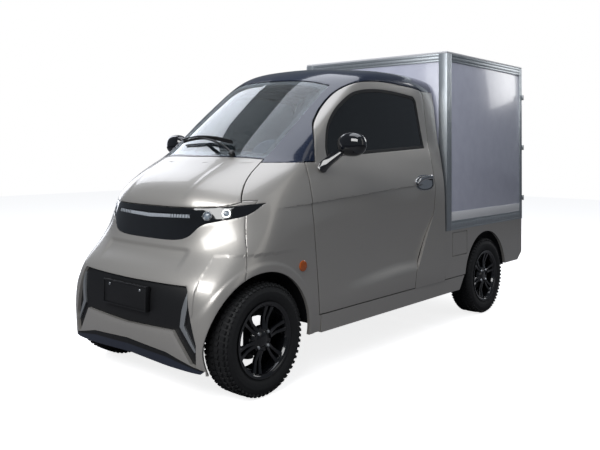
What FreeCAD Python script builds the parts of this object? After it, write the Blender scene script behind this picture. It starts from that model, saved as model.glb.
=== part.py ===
import FreeCAD, Part
import math
import os
from FreeCAD import Vector

# An electric mini cargo truck: a two-seat cab with a moulded nose on a ladder frame, and an
# aluminium-framed cargo box behind it.  Millimetres, +Z up, front towards -Y, the vehicle's left
# side at +X.  The origin is on the ground under the middle of the whole vehicle.

doc = FreeCAD.newDocument("cargo_truck")
sheet = doc.addObject("Spreadsheet::Sheet", "Sizes")

SIZES = [
    ("wheelbase", 2390, "front axle to rear axle"),
    ("front_overhang", 392, "front axle to the plate holder's face"),
    ("rear_overhang", 685, "rear axle to the lock rods' back"),
    ("half_width", 632, "half the body's width"),
    ("cab_to_axle", 630, "cab's back to the rear axle"),
    ("cab_height", 1742, "roof's crown above the ground"),
    ("tyre_radius", 280, "outside of the tread"),
    ("tyre_width", 164, "section width"),
    ("rim_radius", 178, "bead seat"),
    ("hub_radius", 62, "wheel hub"),
    ("kingpin_offset", 50, "steering axis inboard of the wheel's middle"),
    ("arch_radius", 333, "wheel arch in the body"),
    ("bonnet_room", 12, "room behind the bonnet for its rear edge to rise"),
    ("panel_wall", 18, "nose, wing and roof panel with its lining"),
    ("door_wall", 40, "cab door with its lining"),
    ("glass", 5, "glass thickness"),
    ("glass_inset", 4, "glass set in from the panel's face"),
    ("door_gap", 6, "shut line of everything that opens"),
    ("sill_top", 330, "top of the sill"),
    ("sill_low", 235, "underside of the sill"),
    ("rail_inner", 240, "frame rail's inner face"),
    ("rail_width", 60, "frame rail"),
    ("rail_height", 80, "frame rail"),
    ("rail_low", 300, "underside of the rail under the cab"),
    ("rail_high", 480, "underside of the rail over the rear axle"),
    ("floor_plate", 12, "cab floor"),
    ("box_gap", 36, "cab's back to the box"),
    ("box_tail", 653, "rear axle to the box's rear face"),
    ("box_low", 660, "underside of the box"),
    ("box_top", 1900, "top of the box"),
    ("post", 65, "box corner post"),
    ("rail_deep", 70, "box roof rail"),
    ("box_rail", 40, "box rail's thickness"),
    ("rear_post", 45, "box rear post"),
    ("box_wall", 26, "sandwich panel of the box"),
    ("box_floor_plate", 40, "box floor"),
    ("box_door", 32, "box door's thickness"),
    ("skirt_wall", 20, "side panel under the box"),
    ("skirt_low", 335, "underside of the side panel"),
]
for row, (alias, value, note) in enumerate(SIZES, 1):
    sheet.set(f"A{row}", alias)
    sheet.set(f"B{row}", str(value))
    sheet.setAlias(f"B{row}", alias)
    sheet.set(f"C{row}", note)

# Places worked out from the driving sizes
DERIVED = [
    ("front_axle", "(rear_overhang + wheelbase + front_overhang) / -2 + front_overhang"),
    ("rear_axle", "front_axle + wheelbase"),
    ("cab_back", "rear_axle - cab_to_axle"),
    ("box_front", "cab_back + box_gap"),
    ("box_rear", "rear_axle + box_tail"),
    ("track_x", "half_width - tyre_width / 2"),
    ("kingpin_x", "track_x - kingpin_offset"),
    ("rail_outer", "rail_inner + rail_width"),
    ("floor_top", "rail_low + rail_height + floor_plate"),
]
for row, (alias, formula) in enumerate(DERIVED, len(SIZES) + 1):
    sheet.set(f"A{row}", alias)
    sheet.set(f"B{row}", "=" + formula)
    sheet.setAlias(f"B{row}", alias)
doc.recompute()

NAMES = [entry[0] for entry in SIZES] + [entry[0] for entry in DERIVED]


def size(alias):
    """The number in a cell."""
    return float(sheet.get(alias))


def bind(thing, prop, formula):
    """Bind a property to a formula written with the sheet's aliases."""
    words = formula.replace("(", " ( ").replace(")", " ) ").split()
    bound = ["Sizes." + word if word in NAMES else word for word in words]
    thing.setExpression(prop, " ".join(bound))


# ---------------------------------------------------------------- helpers: plain Part shapes

def place(thing, at):
    """Bind where a thing stands: three formulas."""
    for axis, formula in zip("xyz", at):
        bind(thing, "Placement.Base." + axis, formula)


def block(name, at, dims):
    """A box from its low corner and its three sizes, each a formula."""
    thing = doc.addObject("Part::Box", name)
    for prop, formula in zip(("Length", "Width", "Height"), dims):
        bind(thing, prop, formula)
    place(thing, at)
    return thing


TURNS = {
    "X": FreeCAD.Rotation(Vector(0, 1, 0), 90),
    "Y": FreeCAD.Rotation(Vector(1, 0, 0), -90),
    "Z": FreeCAD.Rotation(),
}


def rod(name, at, radius, length, along="Z"):
    """A cylinder from the middle of its end face, along an axis or turned by a Rotation."""
    thing = doc.addObject("Part::Cylinder", name)
    thing.Placement.Rotation = TURNS[along] if isinstance(along, str) else along
    bind(thing, "Radius", radius)
    bind(thing, "Height", length)
    place(thing, at)
    return thing


def joined(name, things):
    """One shape from several."""
    whole = doc.addObject("Part::MultiFuse", name)
    whole.Shapes = things
    return whole


def minus(name, base, tool):
    """A shape with another cut from it."""
    rest = doc.addObject("Part::Cut", name)
    rest.Base = base
    rest.Tool = tool
    return rest


def mirrored(name, thing):
    """The same thing on the vehicle's other side."""
    other = doc.addObject("Part::Mirroring", name)
    other.Source = thing
    other.Normal = Vector(1, 0, 0)
    return other


def both_sides(name, thing):
    """A thing and its mirror image as one object."""
    pair = doc.addObject("Part::Compound", name)
    pair.Links = [thing, mirrored(name + "_right", thing)]
    return pair


# ---------------------------------------------------------------- helpers: PartDesign

def new_body(name):
    return doc.addObject("PartDesign::Body", name)


def new_sketch(body, role, name, outlines, offset=None):
    """A sketch on one of a body's own planes, with closed outlines of straight runs."""
    sketch = body.newObject("Sketcher::SketchObject", name)
    plane = next(item for item in body.Origin.OriginFeatures if item.Role == role)
    sketch.AttachmentSupport = [(plane, "")]
    sketch.MapMode = "FlatFace"
    for outline in outlines:
        corners = [Vector(a, b, 0) for a, b in outline]
        for start, end in zip(corners, corners[1:] + corners[:1]):
            sketch.addGeometry(Part.LineSegment(start, end), False)
    if offset:
        bind(sketch, "AttachmentOffset.Base.z", offset)
    return sketch


def add_circle(sketch, centre, radius):
    sketch.addGeometry(Part.Circle(Vector(centre[0], centre[1], 0), Vector(0, 0, 1), radius), False)


def pad(body, name, sketch, length):
    feature = body.newObject("PartDesign::Pad", name)
    feature.Profile = sketch
    bind(feature, "Length", length)
    sketch.Visibility = False
    return feature


def revolve(body, name, sketch, axis="H_Axis"):
    feature = body.newObject("PartDesign::Revolution", name)
    feature.Profile = sketch
    feature.ReferenceAxis = (sketch, [axis])
    feature.Angle = 360
    return feature


def padded_outline(name, role, outline, length, offset=None):
    """A body made by padding one outline."""
    body = new_body(name)
    sketch = new_sketch(body, role, name + "_outline", [outline], offset)
    pad(body, name + "_pad", sketch, length)
    return body


# ---------------------------------------------------------------- the cab's skin
# The cab's outside is one smooth surface over its left half.  Its control points are rows going
# up the body; each row runs from the middle of the nose, round its corner and back along the side.
# Distances are from the front axle and the ground, for the sizes below, and follow the sheet.

SKIN_WIDTH, SKIN_BACK, SKIN_HEIGHT, SKIN_SILL = 632, 1760, 1742, 330
SIDE_STATIONS = (0, 0.21, 0.49, 0.79, 1)


def skin_row(nose, side_start, side_x, side_z):
    """One row: six points round the nose, then five along the side at even heights or not."""
    heights = side_z if isinstance(side_z, tuple) else (side_z,) * len(side_x)
    side = []
    for share, x, z in zip(SIDE_STATIONS, side_x, heights):
        side.append((x, side_start + (SKIN_BACK - side_start) * share, z))
    return list(nose) + side


SKIN_ROWS = [
    # under the bumper
    skin_row(((0, -350, 150), (200, -350, 150), (400, -346, 150), (515, -338, 150),
              (580, -300, 150), (612, -190, 150)), 60, (622, 622, 612, 612, 622), 150),
    skin_row(((0, -378, 300), (200, -378, 300), (400, -366, 300), (525, -350, 300),
              (592, -308, 300), (620, -190, 300)), 60, (634, 636, 634, 636, 638), 330),
    # the bumper's fullest part
    skin_row(((0, -388, 430), (200, -388, 430), (400, -372, 430), (525, -350, 430),
              (594, -298, 430), (622, -180, 430)), 60, (636, 636, 634, 640, 641), 440),
    skin_row(((0, -384, 555), (200, -384, 555), (400, -366, 555), (515, -334, 555),
              (592, -258, 560), (622, -140, 570)), 60, (638, 628, 620, 632, 641), 560),
    # the shelf above the bumper
    skin_row(((0, -325, 640), (200, -325, 640), (400, -298, 640), (505, -258, 645),
              (582, -180, 650), (620, -80, 660)), 60, (638, 624, 614, 624, 640), 680),
    skin_row(((0, -258, 712), (200, -258, 712), (390, -235, 715), (490, -190, 720),
              (570, -118, 730), (614, -40, 740)), 60, (634, 622, 614, 622, 638), 770),
    # the lamp band
    skin_row(((0, -242, 800), (200, -242, 800), (370, -216, 800), (480, -145, 805),
              (562, -65, 815), (604, 15, 825)), 60, (624, 622, 618, 624, 636), 850),
    skin_row(((0, -236, 900), (200, -236, 900), (345, -206, 900), (460, -128, 902),
              (545, -40, 908), (592, 50, 915)), 110, (615, 624, 626, 628, 634), 925),
    # the bonnet
    skin_row(((0, -226, 965), (200, -226, 965), (335, -192, 963), (452, -108, 960),
              (535, -15, 960), (582, 80, 962)), 150, (606, 622, 630, 630, 632), 965),
    skin_row(((0, -165, 1040), (200, -163, 1040), (320, -125, 1040), (440, -35, 1035),
              (522, 55, 1035), (570, 150, 1035)), 235, (597, 614, 622, 622, 624), 1035),
    skin_row(((0, -50, 1112), (200, -48, 1112), (315, -8, 1112), (430, 75, 1108),
              (508, 155, 1105), (562, 240, 1102)), 320, (588, 600, 608, 609, 612), 1105),
    # the belt line and the windscreen's foot
    skin_row(((0, 92, 1186), (200, 98, 1184), (315, 135, 1180), (424, 202, 1173),
              (500, 265, 1165), (552, 335, 1158)), 385, (576, 584, 592, 595, 598),
             (1158, 1160, 1166, 1185, 1200)),
    skin_row(((0, 180, 1250), (200, 188, 1248), (315, 225, 1244), (424, 292, 1238),
              (495, 340, 1230), (545, 385, 1225)), 430, (566, 572, 578, 580, 582),
             (1215, 1215, 1222, 1240, 1252)),
    # windscreen, pillars and door windows
    skin_row(((0, 330, 1375), (200, 338, 1373), (315, 374, 1368), (424, 440, 1360),
              (490, 475, 1352), (535, 510, 1348)), 560, (554, 560, 566, 566, 568),
             (1340, 1340, 1345, 1350, 1355)),
    skin_row(((0, 510, 1522), (200, 518, 1519), (315, 552, 1512), (424, 615, 1500),
              (485, 650, 1490), (525, 690, 1486)), 740, (540, 546, 550, 550, 552),
             (1480, 1490, 1490, 1490, 1490)),
    skin_row(((0, 660, 1640), (190, 668, 1638), (300, 695, 1630), (405, 748, 1612),
              (465, 785, 1600), (508, 840, 1598)), 930, (528, 534, 536, 536, 536),
             (1602, 1612, 1618, 1616, 1606)),
    # the roof, up to its crown in the middle
    skin_row(((0, 790, 1702), (170, 795, 1701), (270, 812, 1696), (370, 850, 1686),
              (440, 890, 1676), (484, 945, 1676)), 1010, (505, 512, 514, 512, 508),
             (1682, 1694, 1698, 1694, 1680)),
    skin_row(((0, 900, 1728), (140, 905, 1728), (220, 920, 1726), (310, 945, 1722),
              (370, 990, 1716), (410, 1050, 1716)), 1110, (430, 440, 442, 440, 436),
             (1722, 1732, 1736, 1732, 1720)),
    skin_row(((0, 975, 1738), (90, 985, 1738), (140, 1000, 1738), (190, 1020, 1738),
              (225, 1050, 1738), (245, 1090, 1739)), 1140, (250, 250, 250, 250, 250),
             (1741, 1745, 1746, 1742, 1732)),
    skin_row(((0, 1010, 1740), (0, 1035, 1741), (0, 1060, 1742), (0, 1085, 1742),
              (0, 1110, 1743), (0, 1135, 1743)), 1170, (0, 0, 0, 0, 0),
             (1744, 1747, 1748, 1744, 1734)),
]

skin_scale_x = size("half_width") / SKIN_WIDTH
skin_scale_y = (size("cab_back") - size("front_axle")) / SKIN_BACK
skin_scale_z = (size("cab_height") - size("sill_top")) / (SKIN_HEIGHT - SKIN_SILL)


def on_body(x, y, z):
    """A place on the cab, given from the front axle, at the sheet's sizes."""
    behind = skin_scale_y if y > 0 else 1
    if z > SKIN_SILL:
        height = size("sill_top") + (z - SKIN_SILL) * skin_scale_z
    else:
        height = z * size("sill_top") / SKIN_SILL
    return Vector(x * skin_scale_x, y * behind + size("front_axle"), height)


def skin_surface(rows):
    """A smooth cubic surface over rows of control points."""
    def knots(count):
        places = [float(k) for k in range(count - 2)]
        return places, [4] + [1] * (count - 4) + [4]
    up_knots, up_counts = knots(len(rows))
    along_knots, along_counts = knots(len(rows[0]))
    surface = Part.BSplineSurface()
    surface.buildFromPolesMultsKnots(rows, up_counts, along_counts, up_knots, along_knots,
                                     False, False, 3, 3)
    return surface


def control_station(index, count):
    """Where on the surface a control point pulls most."""
    knots = [0] * 3 + list(range(count - 2)) + [count - 3] * 3
    return sum(knots[index + 1:index + 4]) / 3


def inset_rows(inset):
    """The skin's control points moved inwards; open at the cab's back and underneath."""
    rows = [[on_body(*point) for point in row] for row in SKIN_ROWS]
    if inset == 0:
        return rows
    surface = skin_surface(rows)
    last_row, last_column = len(rows) - 1, len(rows[0]) - 1
    outwards = 1 if surface.normal(last_row / 3, last_column / 2).x > 0 else -1
    beyond = 20
    edge_step = 0.02
    moved = []
    for i, row in enumerate(rows):
        new_row = []
        for j, point in enumerate(row):
            if i == last_row:
                normal = Vector(0, 0, 1)
            else:
                up = min(control_station(i, len(rows)), last_row - 2 - edge_step)
                along = max(control_station(j, len(row)), edge_step)
                normal = surface.normal(up, along) * outwards
            new = point - normal * inset
            if i == last_row or j == 0:
                new.x = 0
            if i == 0:
                new.z = point.z - beyond
            if j == last_column:
                new.y = point.y + beyond
            new_row.append(new)
        moved.append(new_row)
    return moved


def cab_half(inset):
    """The left half of the cab's outside, moved inwards, as a closed solid."""
    rows = inset_rows(inset)
    surface = skin_surface(rows)
    up_end, along_end = len(rows) - 3, len(rows[0]) - 3
    nose = surface.vIso(0).toShape()
    rear = surface.vIso(along_end).toShape()
    foot = surface.uIso(0).toShape()
    crown = surface.uIso(up_end).toShape()
    corner = Vector(0, rows[0][-1].y, rows[0][0].z)
    down_back = Part.makeLine(rows[-1][-1], corner)
    along_floor = Part.makeLine(corner, rows[0][0])
    across_back = Part.makeLine(corner, rows[0][-1])
    faces = [surface.toShape()]
    for edges in ((nose, crown, down_back, along_floor), (rear, down_back, across_back),
                  (foot, across_back, along_floor)):
        faces.append(Part.Face(Part.Wire(Part.__sortEdges__(list(edges)))))
    shell = Part.makeShell(faces)
    shell.sewShape()
    solid = Part.makeSolid(shell)
    if solid.Volume < 0:
        solid.reverse()
    return solid


def layer(outside, inside):
    """The left half of the skin between two depths."""
    return cab_half(outside).cut(cab_half(inside))


# ---------------------------------------------------------------- outlines that split the skin

REACH = 900


def grown(runs, gap):
    """The same closed outline moved outwards by a gap; corners on the middle line stay there."""
    ring = []
    for kind, points in runs:
        ring += points[:-1] if points[-1] == (ring or points)[0] else points
    ring = [point for k, point in enumerate(ring) if k == 0 or point != ring[k - 1]]
    if ring[-1] == ring[0]:
        ring.pop()
    area = sum(a[0] * b[1] - b[0] * a[1] for a, b in zip(ring, ring[1:] + ring[:1]))
    turn = 1 if area > 0 else -1
    moved = {}
    for before, point, after in zip(ring[-1:] + ring[:-1], ring, ring[1:] + ring[:1]):
        normals = []
        for start, end in ((before, point), (point, after)):
            along = Vector(end[0] - start[0], end[1] - start[1], 0).normalize()
            normals.append(Vector(along.y, -along.x, 0) * turn)
        middle = (normals[0] + normals[1]).normalize()
        reach = gap / max(middle.dot(normals[0]), 0.5)
        x = point[0] + middle.x * reach if point[0] else 0
        moved[point] = (x, point[1] + middle.y * reach)
    return [(kind, [moved[point] for point in points]) for kind, points in runs]


def outline_face(runs, seat):
    """A flat face from runs of points: a line run is straight, a curve run is smooth."""
    edges = []
    for kind, points in runs:
        spots = [seat(a, b) for a, b in points]
        if kind == "curve":
            spline = Part.BSplineCurve()
            spline.interpolate(spots)
            edges.append(spline.toShape())
        else:
            edges += [Part.makeLine(a, b) for a, b in zip(spots, spots[1:])]
    return Part.Face(Part.Wire(Part.__sortEdges__(edges)))


def outline_solid(runs, seat, gap, push):
    if gap:
        runs = grown(runs, gap)
    solid = outline_face(runs, seat).extrude(push)
    if solid.Volume < 0:
        solid.reverse()
    return solid


def side_cut(runs, gap=0, start=0, reach=REACH):
    """A side-view outline, (y, z), pushed out to the left."""
    def seat(y, z):
        point = on_body(0, y, z)
        return Vector(start, point.y, point.z)
    return outline_solid(runs, seat, gap, Vector(reach, 0, 0))


def front_cut(runs, gap=0, start=-600, reach=1500):
    """A front-view outline, (x, z), pushed back from in front of the nose."""
    def seat(x, z):
        point = on_body(x, 0, z)
        return Vector(point.x, start + size("front_axle"), point.z)
    return outline_solid(runs, seat, gap, Vector(0, reach, 0))


def arch_cut(axle, radius):
    """The round space for a wheel."""
    centre = Vector(0, size(axle), size("tyre_radius"))
    return Part.makeCylinder(radius, REACH, centre, Vector(1, 0, 0))


def loop(points):
    """Straight runs round a closed outline."""
    return [("line", list(points) + [points[0]])]


BELT = 1148
DOOR = [
    ("line", [(440, BELT), (362, BELT), (372, 900), (420, 335), (1379, 335), (1389, 426),
              (1619, 804), (1640, 945), (1630, 1180), (1627, 1560)]),
    ("curve", [(1627, 1560), (1612, 1606), (1560, 1622), (1383, 1634), (1147, 1643),
               (950, 1628), (825, 1595), (707, 1533), (566, 1420), (480, 1315), (440, BELT)]),
]
WINDOW = [
    ("line", [(1576, 1228), (1534, 1540)]),
    ("curve", [(1534, 1540), (1515, 1562), (1476, 1575), (1232, 1593), (1051, 1592),
               (901, 1574), (798, 1537), (662, 1447), (575, 1350), (540, 1240), (542, 1173)]),
    ("line", [(542, 1173), (1576, 1228)]),
]
SCREEN = [
    ("curve", [(0, 1184), (200, 1184), (330, 1180), (424, 1173)]),
    ("line", [(424, 1173), (424, 1602)]),
    ("curve", [(424, 1602), (330, 1625), (200, 1640), (0, 1645)]),
    ("line", [(0, 1645), (0, 1184)]),
]
BONNET = [
    ("curve", [(0, 1176), (200, 1176), (330, 1172), (424, 1164)]),
    ("curve", [(424, 1164), (448, 1080), (480, 1000), (500, 953)]),
    ("curve", [(500, 953), (440, 934), (300, 926), (150, 924), (0, 924)]),
    ("line", [(0, 924), (0, 1176)]),
]
LAMP_BAND = [
    ("curve", [(0, 919), (150, 919), (300, 921), (440, 929), (575, 948)]),
    ("curve", [(575, 948), (540, 890), (450, 862), (370, 838), (300, 778), (200, 757),
               (0, 754)]),
    ("line", [(0, 754), (0, 919)]),
]
GRILLE = loop([(0, 562), (425, 566), (440, 545), (505, 300), (500, 195), (468, 205),
               (359, 349), (0, 335)])
APRON = loop([(0, 327), (355, 341), (462, 205), (300, 240), (0, 257)])
LIP = loop([(0, 252.6), (300, 235.6), (470, 198.6), (505, 192.6), (540, 182.6), (520, 165),
            (300, 165), (0, 178)])


def feature(name, shape):
    """A sub-part whose shape is made with Part's own functions."""
    thing = doc.addObject("Part::Feature", name)
    thing.Shape = shape
    return thing


def whole_width(half):
    """A half and its mirror image as one solid."""
    return half.fuse(half.mirror(Vector(), Vector(1, 0, 0))).removeSplitter()


def pair_of(half):
    """A half and its mirror image as two solids."""
    return Part.makeCompound([half, half.mirror(Vector(), Vector(1, 0, 0))])


def other_side(half):
    return half.mirror(Vector(), Vector(1, 0, 0))


def largest(shape):
    return max(shape.Solids, key=lambda solid: solid.Volume)


# ---------------------------------------------------------------- cab panels from the skin

def cab_panels():
    wall = layer(0, size("panel_wall"))
    door_layer = layer(0, size("door_wall"))
    glass_layer = layer(size("glass_inset"), size("glass_inset") + size("glass"))
    gap = size("door_gap")
    seat_gap = 0.3
    nose_depth = 720
    bonnet_depth = 900
    door_hole = side_cut(DOOR, gap)
    screen_hole = front_cut(SCREEN)
    bonnet_hole = front_cut(BONNET, gap, reach=bonnet_depth)
    lamp_hole = front_cut(LAMP_BAND, reach=nose_depth)
    front_arch = arch_cut("front_axle", size("arch_radius"))
    nose = side_cut(loop([(-600, 160), (-138, 160), (-138, 560), (-50, 900), (20, 960),
                          (-600, 960)]))
    wing = side_cut(loop([(-600, 240), (430, 240), (430, BELT), (-600, BELT)]))
    upper = side_cut(loop([(-300, BELT), (1800, BELT), (1800, 1900), (-300, 1900)]))
    pillar = side_cut(loop([(1382, 330), (1800, 330), (1800, 1612), (1382, 1612)]))
    grille_hole = front_cut(GRILLE, reach=nose_depth)
    apron = front_cut(APRON, reach=nose_depth)
    lip = front_cut(LIP, reach=nose_depth)
    below_lip = front_cut(loop([(0, 253), (300, 236), (470, 199), (505, 193), (545, 182),
                                (545, 100), (0, 100)]), reach=nose_depth)

    bumper = wall.common(nose).cut(lamp_hole).cut(bonnet_hole).cut(grille_hole)
    bumper = bumper.cut(below_lip).cut(front_arch).cut(front_cut(APRON, 1, reach=nose_depth))
    feature("front_bumper", Part.makeCompound(
        [largest(whole_width(bumper)), largest(whole_width(wall.common(apron)))]))
    behind = size("panel_wall") + 0.5
    grille_layer = layer(behind, behind + 12)
    grille = grille_layer.common(front_cut(GRILLE, 12, reach=nose_depth))
    grille = grille.cut(front_cut(LIP, seat_gap, reach=nose_depth))
    grille = grille.cut(arch_cut("front_axle", size("arch_radius") + 8))
    plate_half, plate_low = 182, on_body(0, 0, 411).z
    plate_tall = on_body(0, 0, 536).z - plate_low
    holder_face = size("front_axle") - size("front_overhang")
    holder = Part.makeBox(plate_half, 60, plate_tall, Vector(0, holder_face, plate_low))
    holder = holder.cut(cab_half(behind))
    feature("grille_panel", whole_width(grille.fuse(holder)))
    feature("bumper_lip", whole_width(layer(0, 30).common(lip)))
    lamp_layer = layer(2, size("panel_wall") + 22)
    feature("light_bar", whole_width(lamp_layer.common(front_cut(LAMP_BAND, -seat_gap,
                                                                 reach=nose_depth))))
    bonnet = wall.common(front_cut(BONNET, reach=bonnet_depth))
    swing_room = front_cut(BONNET, reach=bonnet_depth)
    swing_room.translate(Vector(0, 0, -size("bonnet_room")))
    feature("bonnet", whole_width(bonnet.common(swing_room)))
    fender = wall.common(wing).cut(nose).cut(lamp_hole).cut(bonnet_hole).cut(door_hole)
    fender = fender.cut(front_arch).cut(screen_hole)
    feature("front_wings", pair_of(fender))
    roof = wall.common(upper).cut(screen_hole).cut(door_hole).cut(pillar).cut(bonnet_hole)
    feature("roof_shell", whole_width(roof))
    feature("windscreen", whole_width(glass_layer.common(front_cut(SCREEN, -seat_gap))))

    posts = wall.common(pillar).cut(door_hole)
    back_wall = Part.makeBox(REACH, 22, 1500, Vector(0, size("cab_back") - 34,
                                                      size("floor_top")))
    back_wall = cab_half(size("panel_wall")).common(back_wall)
    pane_half, pane_low = 400, on_body(0, 0, 1190).z
    pane_tall = on_body(0, 0, 1520).z - pane_low
    back_window = Part.makeBox(pane_half, 60, pane_tall,
                               Vector(0, size("cab_back") - 50, pane_low))
    feature("cab_rear_wall", whole_width(posts.fuse(back_wall.cut(back_window))))
    pane = Part.makeBox(pane_half - seat_gap, size("glass"), pane_tall - 2 * seat_gap,
                        Vector(0, size("cab_back") - 26, pane_low + seat_gap))
    feature("rear_window", whole_width(pane))

    seal = 14
    frame = layer(size("panel_wall") + seat_gap, size("door_wall") + 8)
    frame = frame.common(side_cut(DOOR, gap + seal))
    frame = frame.cut(door_hole)
    flange = layer(size("door_wall") + seat_gap, size("door_wall") + 8)
    flange = flange.common(side_cut(DOOR, gap + 1)).cut(side_cut(DOOR, -seal))
    above_sill = Part.makeBox(REACH, 4000, 2000, Vector(0, size("front_axle"),
                                                       size("sill_top") - 1))
    frame = frame.fuse(flange).common(above_sill)
    feature("door_frames", pair_of(largest(frame.removeSplitter())))

    door = door_layer.common(side_cut(DOOR)).cut(side_cut(WINDOW))
    pane = glass_layer.common(side_cut(WINDOW, -seat_gap))
    feature("cab_door_left", door)
    feature("cab_door_right", other_side(door))
    feature("door_glass_left", pane)
    feature("door_glass_right", other_side(pane))

    inside = cab_half(size("door_wall") + 8)
    floor_low = size("rail_low") + size("rail_height")
    plate = size("floor_plate")
    toe = on_body(0, 357, 0).y - plate
    seat_start = 1050 * skin_scale_y + size("front_axle")
    floor = Part.makeBox(REACH, size("cab_back") - 34 - toe, plate, Vector(0, toe, floor_low))
    toe_tall = on_body(0, 0, 1020).z - floor_low
    toe_board = Part.makeBox(REACH, plate, toe_tall, Vector(0, toe, floor_low))
    riser = Part.makeBox(560, 520, 150, Vector(0, seat_start, floor_low + plate))
    floor = inside.common(floor.fuse(toe_board)).fuse(riser)
    feature("cab_floor", whole_width(floor))

    dash_outline = loop([(60, 1060), (60, 1100), (120, 1128), (300, 1150), (420, 1158), (520, 1150),
                         (610, 1080), (620, 980), (560, 900), (540, 780), (357, 780),
                         (357, 1060)])
    dash = cab_half(size("door_wall") + 14).common(side_cut(dash_outline))
    rest = Part.makeCylinder(12, 200, on_body(300, 85, 1065))
    dash = dash.fuse(cab_half(size("panel_wall") + seat_gap).common(rest))
    feature("dashboard", whole_width(dash))

    liner_wall = 4
    liner = arch_cut("front_axle", size("arch_radius") + 1 + liner_wall)
    liner = liner.cut(arch_cut("front_axle", size("arch_radius") + 1))
    inner_x = size("rail_outer") + 6
    keep = Part.makeBox(REACH, 900, 400, Vector(inner_x, size("front_axle") - 450, 300))
    liner = cab_half(size("panel_wall") + 0.6).common(liner.common(keep))
    rear_radius = size("arch_radius") + 1
    rear_liner = arch_cut("rear_axle", rear_radius + liner_wall).cut(
        arch_cut("rear_axle", rear_radius))
    liner_out = size("half_width") - size("skirt_wall") - 0.3
    rear_keep = Part.makeBox(liner_out - 440, 900, 400, Vector(440, size("rear_axle") - 450, 320))
    rear_liner = rear_liner.common(rear_keep)
    liners = [liner, rear_liner, other_side(liner), other_side(rear_liner)]
    feature("wheel_liners", Part.makeCompound(liners))


cab_panels()


# ---------------------------------------------------------------- frame, battery and axles

def chassis_frame():
    """Two bent rails, the members between them, and the bearers that carry the box and cab."""
    front = size("front_axle") - 300
    kink = size("cab_back") + 10
    kink_end = kink + 120
    tail = size("box_rear") - 50
    low, high, deep = size("rail_low"), size("rail_high"), size("rail_height")
    outline = [(front, low), (kink, low), (kink_end, high), (tail, high), (tail, high + deep),
               (kink_end - 30, high + deep), (kink - 30, low + deep), (front, low + deep)]
    rail = padded_outline("frame_rail", "YZ_Plane", outline, "rail_width", "rail_inner")
    both_rails = doc.addObject("Part::Compound", "chassis_frame")
    both_rails.Links = [rail, mirrored("frame_rail_right", rail)]
    members = []
    for number, (start, base) in enumerate((("front_axle - 300", "rail_low"),
                                            ("front_axle + 430", "rail_low"),
                                            ("cab_back - 260", "rail_low"),
                                            ("rear_axle - 480", "rail_high"),
                                            ("rear_axle + 400", "rail_high"))):
        members.append(block(f"cross_member_{number}", ("-1 * rail_inner", start, base),
                             ("rail_inner * 2", "50", "rail_height")))
    for number, start in enumerate(("front_axle + 520", "cab_back - 330")):
        outrigger = block(f"outrigger_{number}_left", ("rail_outer", start, "rail_low"),
                          ("half_width - 90 - rail_outer", "60", "30"))
        members += [outrigger, mirrored(f"outrigger_{number}_right", outrigger)]
    cross_members = doc.addObject("Part::Compound", "frame_cross_members")
    cross_members.Links = members
    bearers = []
    for number, start in enumerate(("box_front + 60", "box_rear - 90")):
        bearers.append(block(f"box_bearer_{number}",
                             ("-1 * half_width + 75", start, "rail_high + rail_height"),
                             ("half_width * 2 - 150", "50",
                              "box_low - rail_high - rail_height")))
    for number, start in enumerate(("rear_axle - 120", "rear_axle + 160")):
        bearers.append(block(f"short_bearer_{number}",
                             ("-430", start, "rail_high + rail_height"),
                             ("860", "50", "box_low - rail_high - rail_height")))
    box_bearers = doc.addObject("Part::Compound", "box_bearers")
    box_bearers.Links = bearers


chassis_frame()
block("battery_pack", ("-1 * rail_inner + 8", "front_axle + 600", "rail_low - 105"),
      ("rail_inner * 2 - 16", "cab_back - 260 + 50 - front_axle - 600", "105"))


def front_suspension():
    """Cross member, fixed wishbones, kingpins and spring struts."""
    beam = block("front_beam", ("-1 * rail_outer", "front_axle - 45", "rail_low - 70"),
                 ("rail_outer * 2", "90", "70"))
    side = [
        block("lower_arm", ("rail_outer - 40", "front_axle - 60", "tyre_radius - 110"),
              ("kingpin_x + 40 - rail_outer", "120", "25")),
        block("lower_arm_bracket", ("rail_outer - 40", "front_axle - 45", "tyre_radius - 90"),
              ("40", "90", "rail_low - tyre_radius + 90")),
        rod("lower_eye", ("kingpin_x", "front_axle", "tyre_radius - 110"), "30", "25"),
        block("upper_arm", ("rail_outer", "front_axle - 25", "tyre_radius + 95"),
              ("kingpin_x - rail_outer", "50", "22")),
        rod("upper_eye", ("kingpin_x", "front_axle", "tyre_radius + 95"), "26", "22"),
        rod("kingpin", ("kingpin_x", "front_axle", "tyre_radius - 105"), "9", "215"),
        rod("damper", ("rail_outer + 62", "front_axle + 50", "tyre_radius - 100"), "13", "380"),
        rod("spring", ("rail_outer + 62", "front_axle + 50", "tyre_radius + 30"), "26", "200"),
        block("strut_tower", ("rail_outer", "front_axle - 25", "rail_low - 30"),
              ("26", "110", "tyre_radius + 310 - rail_low")),
        block("strut_top", ("rail_outer", "front_axle + 15", "tyre_radius + 272"),
              ("100", "70", "10")),
    ]
    left = joined("front_suspension_left", side)
    joined("front_axle", [beam, left, mirrored("front_suspension_right", left)])


def steering_knuckle(name):
    upright = rod(name + "_upright", ("kingpin_x", "front_axle", "tyre_radius - 84"), "23",
                  "178")
    spindle = rod(name + "_spindle", ("kingpin_x", "front_axle", "tyre_radius"), "30",
                  "track_x - kingpin_x", "X")
    stub = rod(name + "_stub", ("kingpin_x", "front_axle", "tyre_radius"), "18",
               "track_x + 42 - kingpin_x", "X")
    arm = block(name + "_arm", ("kingpin_x - 20", "front_axle + 10", "tyre_radius - 40"),
                ("22", "100", "18"))
    bore = rod(name + "_bore", ("kingpin_x", "front_axle", "tyre_radius - 90"), "9.3", "190")
    return minus(name, joined(name + "_solid", [upright, spindle, stub, arm]), bore)


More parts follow.
